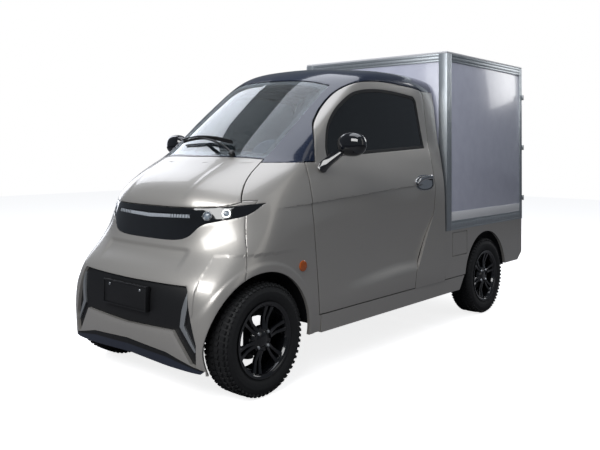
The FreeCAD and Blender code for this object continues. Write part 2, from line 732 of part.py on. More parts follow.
def rear_suspension():
    """Beam axle with its motor and gears in the middle, on two leaf springs."""
    beam = rod("rear_beam", ("-1 * track_x + 70", "rear_axle", "tyre_radius"), "35",
               "track_x * 2 - 140", "X")
    motor = rod("motor_housing", ("-130", "rear_axle", "tyre_radius"), "105", "260", "X")
    stub = rod("rear_stub", ("-1 * track_x - 42", "rear_axle", "tyre_radius"), "18",
               "track_x * 2 + 84", "X")
    drum = rod("brake_drum", ("track_x - 78", "rear_axle", "tyre_radius"), "105", "78", "X")
    middle = size("rear_axle")
    top = size("tyre_radius") - 35.2
    ends = size("rail_high") - 40
    half_span, leaf = 460, 24
    spring = new_body("leaf_spring")
    sketch = spring.newObject("Sketcher::SketchObject", "leaf_outline")
    plane = next(item for item in spring.Origin.OriginFeatures if item.Role == "YZ_Plane")
    sketch.AttachmentSupport = [(plane, "")]
    sketch.MapMode = "FlatFace"
    bind(sketch, "AttachmentOffset.Base.z", "rail_inner + 5")
    for drop in (0, leaf):
        sketch.addGeometry(Part.Arc(Vector(middle - half_span, ends - drop, 0),
                                    Vector(middle, top - drop, 0),
                                    Vector(middle + half_span, ends - drop, 0)), False)
    for end in (middle - half_span, middle + half_span):
        sketch.addGeometry(Part.LineSegment(Vector(end, ends, 0), Vector(end, ends - leaf, 0)),
                           False)
    pad(spring, "leaf_pad", sketch, "50")
    hangers = [block(f"hanger_{number}", ("rail_inner + 5", start, "rail_high - 75"),
                     ("50", "40", "75"))
               for number, start in enumerate(("rear_axle - 480", "rear_axle + 440"))]
    both_sides("rear_springs", joined("rear_spring_left", [spring] + hangers))
    joined("rear_axle", [beam, motor, stub, drum, mirrored("brake_drum_right", drum)])


front_suspension()
knuckle = steering_knuckle("knuckle_left")
mirrored("knuckle_right", knuckle)
rear_suspension()


# ---------------------------------------------------------------- wheels

def tyre(name):
    """A hollow tyre about the X axis, from half a section and its mirror image."""
    bead, tread = size("rim_radius") + 0.3, size("tyre_radius")
    wide, wall = size("tyre_width") / 2, 10
    bead_x, shoulder = wide - 14, 22
    outside = [(bead_x, bead), (wide - 2, bead + 26), (wide, (bead + tread) / 2),
               (wide - 4, tread - shoulder), (wide - 18, tread - 4), (wide - 34, tread)]
    inside = [(wide - 34, tread - wall - 3), (wide - 16, tread - shoulder - 6),
              (wide - wall, (bead + tread) / 2), (wide - wall - 4, bead + 24),
              (bead_x - 12, bead)]
    right = outside + [(-x, r) for x, r in reversed(outside)]
    left = [(-x, r) for x, r in reversed(inside)] + inside
    body = new_body(name)
    section = right + left
    sketch = new_sketch(body, "XY_Plane", name + "_section", [section])
    revolve(body, name + "_turned", sketch)
    return body


def rim(name):
    """Barrel with its lips, a hub, seven spokes and the brake disc's bell."""
    seat, wide = size("rim_radius"), size("tyre_width") / 2 - 9
    wall, lip = 9, 10
    barrel = [(-wide, seat + lip), (-wide - 4, seat + lip), (-wide - 4, seat - wall),
              (wide + 4, seat - wall), (wide + 4, seat + lip), (wide, seat + lip),
              (wide, seat), (-wide, seat)]
    body = new_body(name)
    sketch = new_sketch(body, "XY_Plane", name + "_barrel", [barrel])
    revolve(body, name + "_barrel_turned", sketch)
    hub_sketch = new_sketch(body, "YZ_Plane", name + "_hub", [], "26")
    add_circle(hub_sketch, (0, 0), size("hub_radius"))
    add_circle(hub_sketch, (0, 0), 18.3)
    pad(body, name + "_hub_pad", hub_sketch, "26")
    spokes = 7
    inner, outer = size("hub_radius") - 6, seat - wall + 3
    spoke = [(inner, -17), (outer, -24), (outer, 24), (inner, 17)]
    spoke_sketch = new_sketch(body, "YZ_Plane", name + "_spoke", [spoke], "34")
    spoke_pad = pad(body, name + "_spoke_pad", spoke_sketch, "18")
    pattern = body.newObject("PartDesign::PolarPattern", name + "_spokes")
    pattern.Originals = [spoke_pad]
    pattern.Axis = (spoke_sketch, ["N_Axis"])
    pattern.Angle = 360
    pattern.Occurrences = spokes
    body.Tip = pattern
    return body


def wheels():
    for corner, axle in (("front", "front_axle"), ("rear", "rear_axle")):
        for hand, sign in (("left", "1"), ("right", "-1")):
            for piece in (tyre(f"tyre_{corner}_{hand}"), rim(f"rim_{corner}_{hand}")):
                place(piece, (f"{sign} * track_x", axle, "tyre_radius"))
                if hand == "right":
                    piece.Placement.Rotation = FreeCAD.Rotation(Vector(0, 0, 1), 180)


wheels()


# ---------------------------------------------------------------- sills, skirts and tail

def side_sill():
    start = on_body(0, 431, 0).y
    end = size("rear_axle") - size("arch_radius") - 76
    low, top = size("sill_low"), size("sill_top") - 1
    outline = [(start, low), (end, low), (end + 70, top), (start, top)]
    rocker = padded_outline("sill_rocker", "YZ_Plane", outline, "86", "half_width - 88")
    upstand = block("sill_upstand", ("half_width - 88", "front_axle + 440", "sill_top - 1"),
                    ("32", "cab_back - 60 - front_axle - 440",
                     "rail_low + rail_height - sill_top + 1"))
    both_sides("side_sills", joined("side_sill_left", [rocker, upstand]))


def box_skirts():
    """Body-colour panels between the box and the wheels, the left one with a charging flap."""
    front, tail = size("cab_back") + 12, size("box_rear") - 12
    low, top = size("skirt_low"), size("box_low")
    outline = [(front, low), (tail - 80, low), (tail, low + 60), (tail, top),
               (front, top)]
    skirt = padded_outline("skirt_plate", "YZ_Plane", outline, "skirt_wall",
                           "half_width - skirt_wall")
    arch = rod("skirt_arch", ("half_width - 60", "rear_axle", "tyre_radius"), "arch_radius",
               "100", "X")
    plain = minus("skirt_left_plain", skirt, arch)
    opening = block("flap_opening", ("half_width - 10.3", "rear_axle - 517", "box_low - 183"),
                    ("20", "217", "168"))
    rim_hole = block("flap_rim_hole", ("half_width - 60", "rear_axle - 507", "box_low - 173"),
                     ("100", "197", "148"))
    hole = joined("flap_hole", [opening, rim_hole])
    recess = block("charge_recess", ("half_width - skirt_wall - 50", "rear_axle - 525",
                                     "box_low - 190"),
                   ("50", "232", "182"))
    recess_hole = block("charge_recess_hole", ("half_width - skirt_wall - 44",
                                               "rear_axle - 517", "box_low - 183"),
                        ("60", "217", "168"))
    left = joined("skirt_left", [minus("skirt_left_cut", plain, hole),
                                 minus("charge_box", recess, recess_hole)])
    pair = doc.addObject("Part::Compound", "rear_skirts")
    pair.Links = [left, mirrored("skirt_right", plain)]
    block("charge_flap", ("half_width - 10", "rear_axle - 517 + door_gap",
                          "box_low - 183 + door_gap"),
          ("10", "217 - 2 * door_gap", "168 - 2 * door_gap"))


def tail():
    plate = block("tail_plate", ("-1 * half_width + skirt_wall", "box_rear - 32",
                                 "skirt_low + 20"),
                  ("half_width * 2 - 2 * skirt_wall", "20", "box_low - skirt_low - 20"))
    hole = block("lamp_hole_left", ("half_width - 150", "box_rear - 60", "box_low - 190"),
                 ("110", "80", "150"))
    minus("tail_panel", plate, both_sides("lamp_holes", hole))
    lamp = block("tail_lamp_left", ("half_width - 150 + 0.3", "box_rear - 40",
                                    "box_low - 190 + 0.3"),
                 ("110 - 0.6", "36", "150 - 0.6"))
    both_sides("tail_lamps", lamp)


side_sill()
box_skirts()
tail()


# ---------------------------------------------------------------- cargo box

def box_frame():
    """Four posts with rails between them, top and bottom, open at every face."""
    inner = "( half_width - box_rail )"
    pieces = []
    for name, start, wide, deep in (("front_post", "box_front", "post", "post"),
                                    ("rear_post", "box_rear - rear_post", "rear_post",
                                     "rear_post")):
        post = block(name, ("half_width - " + wide, start, "box_low"),
                     (wide, deep, "box_top - box_low"))
        pieces += [post, mirrored(name + "_right", post)]
    for name, base, tall in (("bottom_rail", "box_low", "post"),
                             ("top_rail", "box_top - rail_deep", "rail_deep")):
        rail = block(name, ("half_width - box_rail", "box_front", base),
                     ("box_rail", "box_rear - box_front", tall))
        pieces += [rail, mirrored(name + "_right", rail)]
        for end, start in (("front", "box_front"), ("rear", "box_rear - box_rail")):
            pieces.append(block(name + "_" + end, ("-1 * half_width", start, base),
                                ("half_width * 2", "box_rail", tall)))
    joined("box_frame", pieces)


def box_panels():
    wall_base, wall_top = "box_low + post", "box_top - rail_deep"
    side = block("side_panel", ("half_width - box_wall - 4", "box_front + post", wall_base),
                 ("box_wall", "box_rear - rear_post - box_front - post",
                  "box_top - rail_deep - box_low - post"))
    front = block("front_panel", ("-1 * half_width + post", "box_front + 4", wall_base),
                  ("half_width * 2 - 2 * post", "box_wall",
                   "box_top - rail_deep - box_low - post"))
    panels = doc.addObject("Part::Compound", "box_panels")
    panels.Links = [side, mirrored("side_panel_right", side), front]
    for node, base, thick in (("box_roof", "box_top - 8 - box_wall", "box_wall"),
                              ("box_floor", "box_low", "box_floor_plate")):
        slab = block(node + "_slab", ("-1 * half_width + box_rail", "box_front + box_rail", base),
                     ("half_width * 2 - 2 * box_rail", "box_rear - box_front - 2 * box_rail",
                      thick))
        corners = []
        for name, start, wide in (("front", "box_front", "post"),
                                  ("rear", "box_rear - rear_post", "rear_post")):
            notch = block(f"{node}_notch_{name}", ("half_width - " + wide, start, base + " - 1"),
                          (wide, wide, thick + " + 2"))
            corners.append(both_sides(f"{node}_notches_{name}", notch))
        minus(node, slab, joined(node + "_notches", corners))


def box_door(name):
    """A rear door leaf with its strap hinges and lock rod."""
    leaf = block(name + "_leaf", ("4", "box_rear - box_door", "box_low + post + door_gap"),
                 ("half_width - rear_post - door_gap - 4", "box_door + 0.3",
                  "box_top - rail_deep - box_low - post - 2 * door_gap"))
    pieces = [leaf]
    pieces.append(rod(name + "_lock_rod", ("70", "box_rear + 19", "box_low + 60"), "11",
                      "box_top - box_low - 120"))
    for number, base in enumerate(("box_low + 150", "box_low + 560", "box_low + 970")):
        pieces.append(block(f"{name}_rod_guide_{number}", ("50", "box_rear", base),
                            ("40", "32", "40")))
        pieces.append(block(f"{name}_strap_{number}",
                            ("half_width - 190", "box_rear + 0.3", base),
                            ("194", "6.7", "40")))
        pieces.append(rod(f"{name}_knuckle_{number}", ("half_width + 4", "box_rear + 8.3", base),
                          "8", "40"))
    return joined(name, pieces)


box_frame()
box_panels()
left_leaf = box_door("box_door_left")
mirrored("box_door_right", left_leaf)


# ---------------------------------------------------------------- cab fittings

COLUMN_TILT = 28
WHEEL_AT = (235, 660, 1085)


def steering():
    lean = FreeCAD.Rotation(Vector(1, 0, 0), 90 + COLUMN_TILT)
    centre = on_body(*WHEEL_AT)
    down = Vector(0, -math.cos(math.radians(COLUMN_TILT)),
                  -math.sin(math.radians(COLUMN_TILT)))
    rim_radius, grip = 175, 14
    ring = Part.makeTorus(rim_radius, grip, Vector(), Vector(0, 0, 1))
    hub = Part.makeCylinder(34, 30, Vector(0, 0, -12))
    spokes = [Part.makeBox(rim_radius, 26, 10, Vector(0, -13, -5)) for _ in range(3)]
    for spoke, angle in zip(spokes, (90, 200, 340)):
        spoke.rotate(Vector(), Vector(0, 0, 1), angle + 180)
    wheel = feature("steering_wheel", hub.multiFuse([ring] + spokes).removeSplitter())
    wheel.Placement = FreeCAD.Placement(centre, lean)
    tube = Part.makeCylinder(24, 150, centre + down * 19, down)
    shroud = Part.makeCylinder(38, 100, centre + down * 40, down)
    column = tube.fuse(shroud)
    dash = doc.getObject("dashboard").Shape
    feature("steering_column", column.cut(dash).Solids[0])


def seats():
    """Two seats, each one cushion and back."""
    base = size("rail_low") + size("rail_height") + size("floor_plate") + 150 + 0.3
    start = on_body(0, 1060, 0).y
    outline = [(start, base), (start, base + 125), (start + 30, base + 140),
               (start + 400, base + 120), (start + 520, base + 600), (start + 570, base + 760),
               (start + 640, base + 760), (start + 625, base + 560), (start + 560, base + 60),
               (start + 540, base)]
    seat = padded_outline("seat_left", "YZ_Plane", outline, "430", "75")
    both_sides("seats", seat)


def mirrors():
    """Door mirrors: a rounded head on a short arm from the door."""
    centre = on_body(738, 553, 1246)
    head = Part.makeSphere(1)
    stretch = FreeCAD.Matrix()
    stretch.scale(90, 54, 66)
    head = head.transformGeometry(stretch)
    head.translate(centre)
    foot = on_body(580, 475, 1105)
    arm = Part.makeCone(26, 17, (centre - foot).Length * 0.82, foot, centre - foot)
    door = doc.getObject("cab_door_left").Shape
    mirror = head.fuse(arm).cut(door)
    mirror = max(mirror.Solids, key=lambda solid: solid.Volume)
    feature("mirror_left", mirror)
    feature("mirror_right", other_side(mirror))


steering()
seats()
mirrors()

# ---------------------------------------------------------------- check and write

NODES = [
    "chassis_frame", "frame_cross_members", "box_bearers", "battery_pack",
    "front_axle", "rear_axle", "rear_springs", "knuckle_left", "knuckle_right",
    "tyre_front_left", "tyre_front_right", "tyre_rear_left", "tyre_rear_right",
    "rim_front_left", "rim_front_right", "rim_rear_left", "rim_rear_right",
    "cab_floor", "side_sills", "front_bumper", "grille_panel", "bumper_lip", "light_bar",
    "bonnet", "front_wings", "roof_shell", "windscreen", "cab_rear_wall", "rear_window",
    "door_frames", "cab_door_left", "cab_door_right", "door_glass_left", "door_glass_right",
    "mirror_left", "mirror_right", "dashboard", "steering_column", "steering_wheel", "seats",
    "wheel_liners", "box_frame", "box_panels", "box_roof", "box_floor",
    "box_door_left", "box_door_right", "rear_skirts", "charge_flap", "tail_panel", "tail_lamps",
]

doc.recompute()
problems = [f"{thing.Label}: {thing.State}" for thing in doc.Objects
            if "Invalid" in thing.State or "Error" in thing.State]
for name in NODES:
    shape = doc.getObject(name).Shape
    if shape.isNull() or not shape.isValid() or not shape.Solids:
        problems.append(f"{name}: no valid solid")
if problems:
    raise RuntimeError("; ".join(problems))

os.makedirs("parts", exist_ok=True)
for name in NODES:
    doc.getObject(name).Shape.exportStep(f"parts/{name}.step")
print(len(NODES), "parts written")
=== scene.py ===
import math

import bmesh
import bpy
import numpy as np
from mathutils import Matrix, Vector, geometry, kdtree
from mathutils.bvhtree import BVHTree


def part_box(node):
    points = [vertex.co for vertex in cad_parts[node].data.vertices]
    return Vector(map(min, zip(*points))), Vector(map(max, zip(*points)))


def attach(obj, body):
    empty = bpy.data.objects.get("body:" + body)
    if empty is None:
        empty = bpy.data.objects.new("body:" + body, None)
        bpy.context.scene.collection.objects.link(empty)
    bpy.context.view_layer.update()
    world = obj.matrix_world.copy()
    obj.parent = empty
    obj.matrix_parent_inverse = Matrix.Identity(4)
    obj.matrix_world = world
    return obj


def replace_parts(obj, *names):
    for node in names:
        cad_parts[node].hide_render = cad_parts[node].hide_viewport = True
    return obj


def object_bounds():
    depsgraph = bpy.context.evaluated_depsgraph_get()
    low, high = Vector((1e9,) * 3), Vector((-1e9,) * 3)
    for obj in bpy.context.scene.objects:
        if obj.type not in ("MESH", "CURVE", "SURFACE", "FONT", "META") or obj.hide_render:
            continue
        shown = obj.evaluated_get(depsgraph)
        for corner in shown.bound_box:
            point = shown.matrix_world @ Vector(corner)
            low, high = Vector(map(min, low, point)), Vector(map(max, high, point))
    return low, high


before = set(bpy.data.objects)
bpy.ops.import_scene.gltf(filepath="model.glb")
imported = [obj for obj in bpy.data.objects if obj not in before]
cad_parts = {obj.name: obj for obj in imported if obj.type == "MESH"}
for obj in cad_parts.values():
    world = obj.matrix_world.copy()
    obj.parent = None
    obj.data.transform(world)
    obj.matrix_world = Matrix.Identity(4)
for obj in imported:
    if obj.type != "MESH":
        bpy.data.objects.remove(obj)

cad_box = [[float(v) for v in corner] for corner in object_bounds()]

# ================================================================ camera, floor and light
# A studio: a plain pale floor that shades off into a white surround, and large soft lamps on
# both sides and overhead.

front_axle = (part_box("tyre_front_left")[0].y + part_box("tyre_front_left")[1].y) / 2
rear_axle = (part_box("tyre_rear_left")[0].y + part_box("tyre_rear_left")[1].y) / 2

eye = Vector((2.985, front_axle - 2.493, 1.220))
turn, tilt, roll = -0.7246, 0.0181, 0.0043
camera_data = bpy.data.cameras.new("camera")
camera_data.sensor_width = 36
camera_data.lens = 41.6676
camera_data.shift_x = 0.01718
camera_data.shift_y = -0.1477
camera = bpy.data.objects.new("camera", camera_data)
bpy.context.scene.collection.objects.link(camera)
bpy.context.scene.camera = camera
ahead = Vector((math.sin(turn) * math.cos(tilt), math.cos(turn) * math.cos(tilt), math.sin(tilt)))
camera.location = eye
camera.rotation_euler = (ahead.to_track_quat("-Z", "Y").to_matrix()
                         @ Matrix.Rotation(roll, 3, "Z")).to_euler()


def srgb(code):
    """A linear colour from an sRGB hex value."""
    parts = [int(code[k:k + 2], 16) / 255 for k in (1, 3, 5)]
    linear = [v / 12.92 if v <= 0.04045 else ((v + 0.055) / 1.055) ** 2.4 for v in parts]
    return (*linear, 1)


def add_node(tree, kind, settings=None, links=None):
    """A node with its settings and its links; a key that names an input sets that input."""
    node = tree.nodes.new(kind)
    for key, value in (settings or {}).items():
        if isinstance(key, int) or key in node.inputs:
            node.inputs[key].default_value = value
        else:
            setattr(node, key, value)
    for key, socket in (links or {}).items():
        tree.links.new(socket, node.inputs[key])
    return node


scene = bpy.context.scene
scene.view_settings.view_transform = "Standard"
world = bpy.data.worlds.new("studio_air")
scene.world = world
world.use_nodes = True
air = world.node_tree
air.nodes.clear()
seen = add_node(air, "ShaderNodeLightPath")
direct = add_node(air, "ShaderNodeMath", {"operation": "MAXIMUM"},
                  {0: seen.outputs["Is Camera Ray"], 1: seen.outputs["Is Transmission Ray"]})
fill = add_node(air, "ShaderNodeBackground", {"Color": srgb("#d8e2f0"), "Strength": 0.17})
white = add_node(air, "ShaderNodeBackground", {"Color": (1, 1, 1, 1), "Strength": 1.0})
both = add_node(air, "ShaderNodeMixShader", links={0: direct.outputs[0], 1: fill.outputs[0],
                                                   2: white.outputs[0]})
add_node(air, "ShaderNodeOutputWorld", links={"Surface": both.outputs[0]})

floor_mesh = bpy.data.meshes.new("studio_floor")
reach = 14.0
floor_mesh.from_pydata([(-reach, -reach, 0), (reach, -reach, 0), (reach, reach, 0),
                        (-reach, reach, 0)], [], [(0, 1, 2, 3)])
floor = bpy.data.objects.new("studio_floor", floor_mesh)
scene.collection.objects.link(floor)
# Matt white studio floor paint: white to the eye, with only the soft shadow left on it
floor_paint = bpy.data.materials.new("white_floor_paint")
floor_paint.use_nodes = True
tree = floor_paint.node_tree
tree.nodes.clear()
path = add_node(tree, "ShaderNodeLightPath")
matt = add_node(tree, "ShaderNodeBsdfDiffuse", {"Color": srgb("#e9e9ea")})
glow = add_node(tree, "ShaderNodeEmission", {"Color": (1, 1, 1, 1), "Strength": 0.82})
lit = add_node(tree, "ShaderNodeAddShader", links={0: matt.outputs[0], 1: glow.outputs[0]})
bounce = add_node(tree, "ShaderNodeBsdfDiffuse", {"Color": srgb("#77777a")})
shown = add_node(tree, "ShaderNodeMixShader", links={0: path.outputs["Is Camera Ray"],
                                                     1: bounce.outputs[0], 2: lit.outputs[0]})
add_node(tree, "ShaderNodeOutputMaterial", links={"Surface": shown.outputs[0]})
floor_mesh.materials.append(floor_paint)

for name, place, size, watts, colour in (
        ("front_lamp", (1.2, -6.0, 4.2), (5.0, 2.4), 270, "#ffffff"),
        ("side_lamp", (6.5, 0.5, 3.8), (2.6, 6.0), 32, "#fbf8f2"),
        ("far_side_lamp", (-6.0, 0.5, 3.6), (2.6, 6.0), 120, "#f4f7ff"),
        ("top_lamp", (0.0, 0.0, 6.5), (5.0, 6.0), 190, "#f4f7ff"),
        ("rear_lamp", (0.5, 6.5, 3.4), (5.0, 2.4), 110, "#ffffff")):
    lamp = bpy.data.lights.new(name, "AREA")
    lamp.shape = "RECTANGLE"
    lamp.size, lamp.size_y = size
    lamp.energy = watts
    lamp.color = srgb(colour)[:3]
    stand = bpy.data.objects.new(name, lamp)
    stand.location = place
    stand.rotation_euler = (Vector((0, 0, 0.8)) - Vector(place)).to_track_quat("-Z", "Y").to_euler()
    scene.collection.objects.link(stand)

# ================================================================ the cab's outer skin
# One smooth pressed shape, sprayed and then split into its panels.  It is a cubic surface over
# rows of control points going up the body; each row runs from the middle of the nose, round the
# corner and back to the cab's end, in millimetres from the front axle and the ground.

MM = 0.001
side_stations = (0, 0.21, 0.49, 0.79, 1)
cab_end = 1760


def skin_row(nose, side_start, side_x, side_z):
    heights = side_z if isinstance(side_z, tuple) else (side_z,) * len(side_x)
    side = [(x, side_start + (cab_end - side_start) * share, z)
            for share, x, z in zip(side_stations, side_x, heights)]
    return list(nose) + side


skin_rows = [
    # under the bumper
    skin_row(((0, -350, 150), (200, -350, 150), (400, -346, 150), (515, -338, 150),
              (580, -300, 150), (612, -190, 150)), 60, (622, 622, 612, 612, 622), 150),
    skin_row(((0, -378, 300), (200, -378, 300), (400, -366, 300), (525, -350, 300),
              (592, -308, 300), (620, -190, 300)), 60, (634, 636, 634, 636, 638), 330),
    # the bumper's fullest part
    skin_row(((0, -388, 430), (200, -388, 430), (400, -372, 430), (525, -350, 430),
              (594, -298, 430), (622, -180, 430)), 60, (636, 636, 634, 640, 641), 440),
    skin_row(((0, -384, 555), (200, -384, 555), (400, -366, 555), (515, -334, 555),
              (592, -258, 560), (622, -140, 570)), 60, (638, 628, 620, 632, 641), 560),
    # the shelf above the bumper
    skin_row(((0, -325, 640), (200, -325, 640), (400, -298, 640), (505, -258, 645),
              (582, -180, 650), (620, -80, 660)), 60, (638, 624, 614, 624, 640), 680),
    skin_row(((0, -258, 712), (200, -258, 712), (390, -235, 715), (490, -190, 720),
              (570, -118, 730), (614, -40, 740)), 60, (634, 622, 614, 622, 638), 770),
    # the lamp band
    skin_row(((0, -242, 800), (200, -242, 800), (370, -216, 800), (480, -145, 805),
              (562, -65, 815), (604, 15, 825)), 60, (624, 622, 618, 624, 636), 850),
    skin_row(((0, -236, 900), (200, -236, 900), (345, -206, 900), (460, -128, 902),
              (545, -40, 908), (592, 50, 915)), 110, (615, 624, 626, 628, 634), 925),
    # the bonnet
    skin_row(((0, -226, 965), (200, -226, 965), (335, -192, 963), (452, -108, 960),
              (535, -15, 960), (582, 80, 962)), 150, (606, 622, 630, 630, 632), 965),
    skin_row(((0, -165, 1040), (200, -163, 1040), (320, -125, 1040), (440, -35, 1035),
              (522, 55, 1035), (570, 150, 1035)), 235, (597, 614, 622, 622, 624), 1035),
    skin_row(((0, -50, 1112), (200, -48, 1112), (315, -8, 1112), (430, 75, 1108),
              (508, 155, 1105), (562, 240, 1102)), 320, (588, 600, 608, 609, 612), 1105),
    # the belt line and the windscreen's foot
    skin_row(((0, 92, 1186), (200, 98, 1184), (315, 135, 1180), (424, 202, 1173),
              (500, 265, 1165), (552, 335, 1158)), 385, (576, 584, 592, 595, 598),
             (1158, 1160, 1166, 1185, 1200)),
    skin_row(((0, 180, 1250), (200, 188, 1248), (315, 225, 1244), (424, 292, 1238),
              (495, 340, 1230), (545, 385, 1225)), 430, (566, 572, 578, 580, 582),
             (1215, 1215, 1222, 1240, 1252)),
    # windscreen, pillars and door windows
    skin_row(((0, 330, 1375), (200, 338, 1373), (315, 374, 1368), (424, 440, 1360),
              (490, 475, 1352), (535, 510, 1348)), 560, (554, 560, 566, 566, 568),
             (1340, 1340, 1345, 1350, 1355)),
    skin_row(((0, 510, 1522), (200, 518, 1519), (315, 552, 1512), (424, 615, 1500),
              (485, 650, 1490), (525, 690, 1486)), 740, (540, 546, 550, 550, 552),
             (1480, 1490, 1490, 1490, 1490)),
    skin_row(((0, 660, 1640), (190, 668, 1638), (300, 695, 1630), (405, 748, 1612),
              (465, 785, 1600), (508, 840, 1598)), 930, (528, 534, 536, 536, 536),
             (1602, 1612, 1618, 1616, 1606)),
    # the roof, up to its crown in the middle
    skin_row(((0, 790, 1702), (170, 795, 1701), (270, 812, 1696), (370, 850, 1686),
              (440, 890, 1676), (484, 945, 1676)), 1010, (505, 512, 514, 512, 508),
             (1682, 1694, 1698, 1694, 1680)),
    skin_row(((0, 900, 1728), (140, 905, 1728), (220, 920, 1726), (310, 945, 1722),
              (370, 990, 1716), (410, 1050, 1716)), 1110, (430, 440, 442, 440, 436),
             (1722, 1732, 1736, 1732, 1720)),
    skin_row(((0, 975, 1738), (90, 985, 1738), (140, 1000, 1738), (190, 1020, 1738),
              (225, 1050, 1738), (245, 1090, 1739)), 1140, (250, 250, 250, 250, 250),
             (1741, 1745, 1746, 1742, 1732)),
    skin_row(((0, 1010, 1740), (0, 1035, 1741), (0, 1060, 1742), (0, 1085, 1742),
              (0, 1110, 1743), (0, 1135, 1743)), 1170, (0, 0, 0, 0, 0),
             (1744, 1747, 1748, 1744, 1734)),
]


def basis(count, places):
    """Cubic weights of each control point at places from 0 to 1; the ends are clamped."""
    knots = np.concatenate([[0] * 3, np.linspace(0, 1, count - 2), [1] * 3])
    places = np.clip(places, 0, 1 - 1e-9)[:, None]
    weights = ((knots[:-1] <= places) & (places < knots[1:])).astype(float)
    for degree in (1, 2, 3):
        rise = knots[degree:-1] - knots[:-degree - 1]
        fall = knots[degree + 1:] - knots[1:-degree]
        up = np.where(rise > 0, (places - knots[:-degree - 1]) / np.where(rise > 0, rise, 1), 0)
        down = np.where(fall > 0, (knots[degree + 1:] - places) / np.where(fall > 0, fall, 1), 0)
        weights = up * weights[:, :-1] + down * weights[:, 1:]
    return weights


cage = np.array(skin_rows, float)


def skin_at(spots):
    """Places on the skin, in millimetres, for (along, up) pairs from 0 to 1."""
    return np.einsum("ni,nj,ijk->nk", basis(cage.shape[0], spots[:, 1]),
                     basis(cage.shape[1], spots[:, 0]), cage)


def skin_normals(spots):
    """Outward directions at (along, up) pairs."""
    step = 1e-4
    near = np.clip(spots, step, 1 - step)
    across = skin_at(near + (step, 0)) - skin_at(near - (step, 0))
    upward = skin_at(near + (0, step)) - skin_at(near - (0, step))
    normals = np.cross(across, upward)
    return normals / np.maximum(np.linalg.norm(normals, axis=1), 1e-9)[:, None]


coarse = 160
along, up = np.meshgrid(np.linspace(0, 1, coarse), np.linspace(0, 1, coarse))
coarse_spots = np.stack([along.ravel(), up.ravel()], 1)
coarse_faces = [(r * coarse + c, r * coarse + c + 1, (r + 1) * coarse + c + 1, (r + 1) * coarse + c)
                for r in range(coarse - 1) for c in range(coarse - 1)]
skin_tree = BVHTree.FromPolygons(skin_at(coarse_spots).tolist(), coarse_faces)
VIEWS = {"side": (1, 2), "front": (0, 2)}


def seat(points, view):
    """(along, up) pairs of outline points seen from the side or the front; NaN off the skin."""
    a, b = VIEWS[view]
    found = np.full((len(points), 2), np.nan)
    for k, (p, q) in enumerate(points):
        origin = (1000, p, q) if view == "side" else (max(p, 0.5), -1000, q)
        heading = (-1, 0, 0) if view == "side" else (0, 1, 0)
        face = skin_tree.ray_cast(origin, heading)[2]
        if face is not None:
            r, c = divmod(face, coarse - 1)
            found[k] = ((c + 0.5) / (coarse - 1), (r + 0.5) / (coarse - 1))
    hit = ~np.isnan(found[:, 0])
    spots, goal = found[hit], np.asarray(points)[hit]
    step = 1e-4
    for _ in range(5):
        spots = np.clip(spots, step, 1 - step)
        miss = goal - skin_at(spots)[:, (a, b)]
        du = (skin_at(spots + (step, 0)) - skin_at(spots))[:, (a, b)] / step
        dv = (skin_at(spots + (0, step)) - skin_at(spots))[:, (a, b)] / step
        scale = du[:, 0] * dv[:, 1] - du[:, 1] * dv[:, 0]
        scale = np.where(np.abs(scale) < 1e-3, 1e-3, scale)
        move = np.stack([(miss[:, 0] * dv[:, 1] - miss[:, 1] * dv[:, 0]) / scale,
                         (du[:, 0] * miss[:, 1] - du[:, 1] * miss[:, 0]) / scale], 1)
        spots = spots + np.clip(move, -0.01, 0.01)
    spots = np.clip(spots, 0, 1)
    if view == "front":
        spots[goal[:, 0] < 0.01, 0] = 0
    found[hit] = spots
    return found


def smooth_run(points, pitch):
    """A smooth curve through points, sampled at about a pitch."""
    pts = np.array([points[0]] + list(points) + [points[-1]], float)
    run = []
    for k in range(1, len(pts) - 2):
        p0, p1, p2, p3 = pts[k - 1:k + 3]
        count = max(2, int(np.linalg.norm(p2 - p1) / pitch))
        for t in np.arange(count) / count:
            run.append(0.5 * (2 * p1 + (p2 - p0) * t + (2 * p0 - 5 * p1 + 4 * p2 - p3) * t ** 2
                              + (3 * p1 - p0 - 3 * p2 + p3) * t ** 3))
    return run


def straight_run(points, pitch):
    run = []
    for start, end in zip(points, points[1:]):
        start, end = np.array(start, float), np.array(end, float)
        count = max(1, int(np.linalg.norm(end - start) / pitch))
        run += [start + (end - start) * t for t in np.arange(count) / count]
    return run


def sampled(runs, pitch=9):
    """A closed outline of line and curve runs as one ring of close points."""
    ring = []
    for kind, points in runs:
        ring += smooth_run(points, pitch) if kind == "curve" else straight_run(points, pitch)
    return np.array(ring)


def grown(ring, gap):
    """A ring moved outwards; points on the middle line stay on it."""
    if gap == 0:
        return ring
    after, before = np.roll(ring, -1, 0), np.roll(ring, 1, 0)
    turn_sign = 1 if np.sum(ring[:, 0] * after[:, 1] - after[:, 0] * ring[:, 1]) > 0 else -1

    def out(a, b):
        line = b - a
        line = line / np.maximum(np.linalg.norm(line, axis=1), 1e-9)[:, None]
        return np.stack([line[:, 1], -line[:, 0]], 1) * turn_sign

    first, second = out(before, ring), out(ring, after)
    middle = first + second
    middle = middle / np.maximum(np.linalg.norm(middle, axis=1), 1e-9)[:, None]
    moved = ring + middle * (gap / np.maximum(np.sum(middle * first, 1), 0.5))[:, None]
    moved[np.abs(ring[:, 0]) < 0.01, 0] = 0
    return moved


def loop(points):
    return [("line", list(points) + [points[0]])]


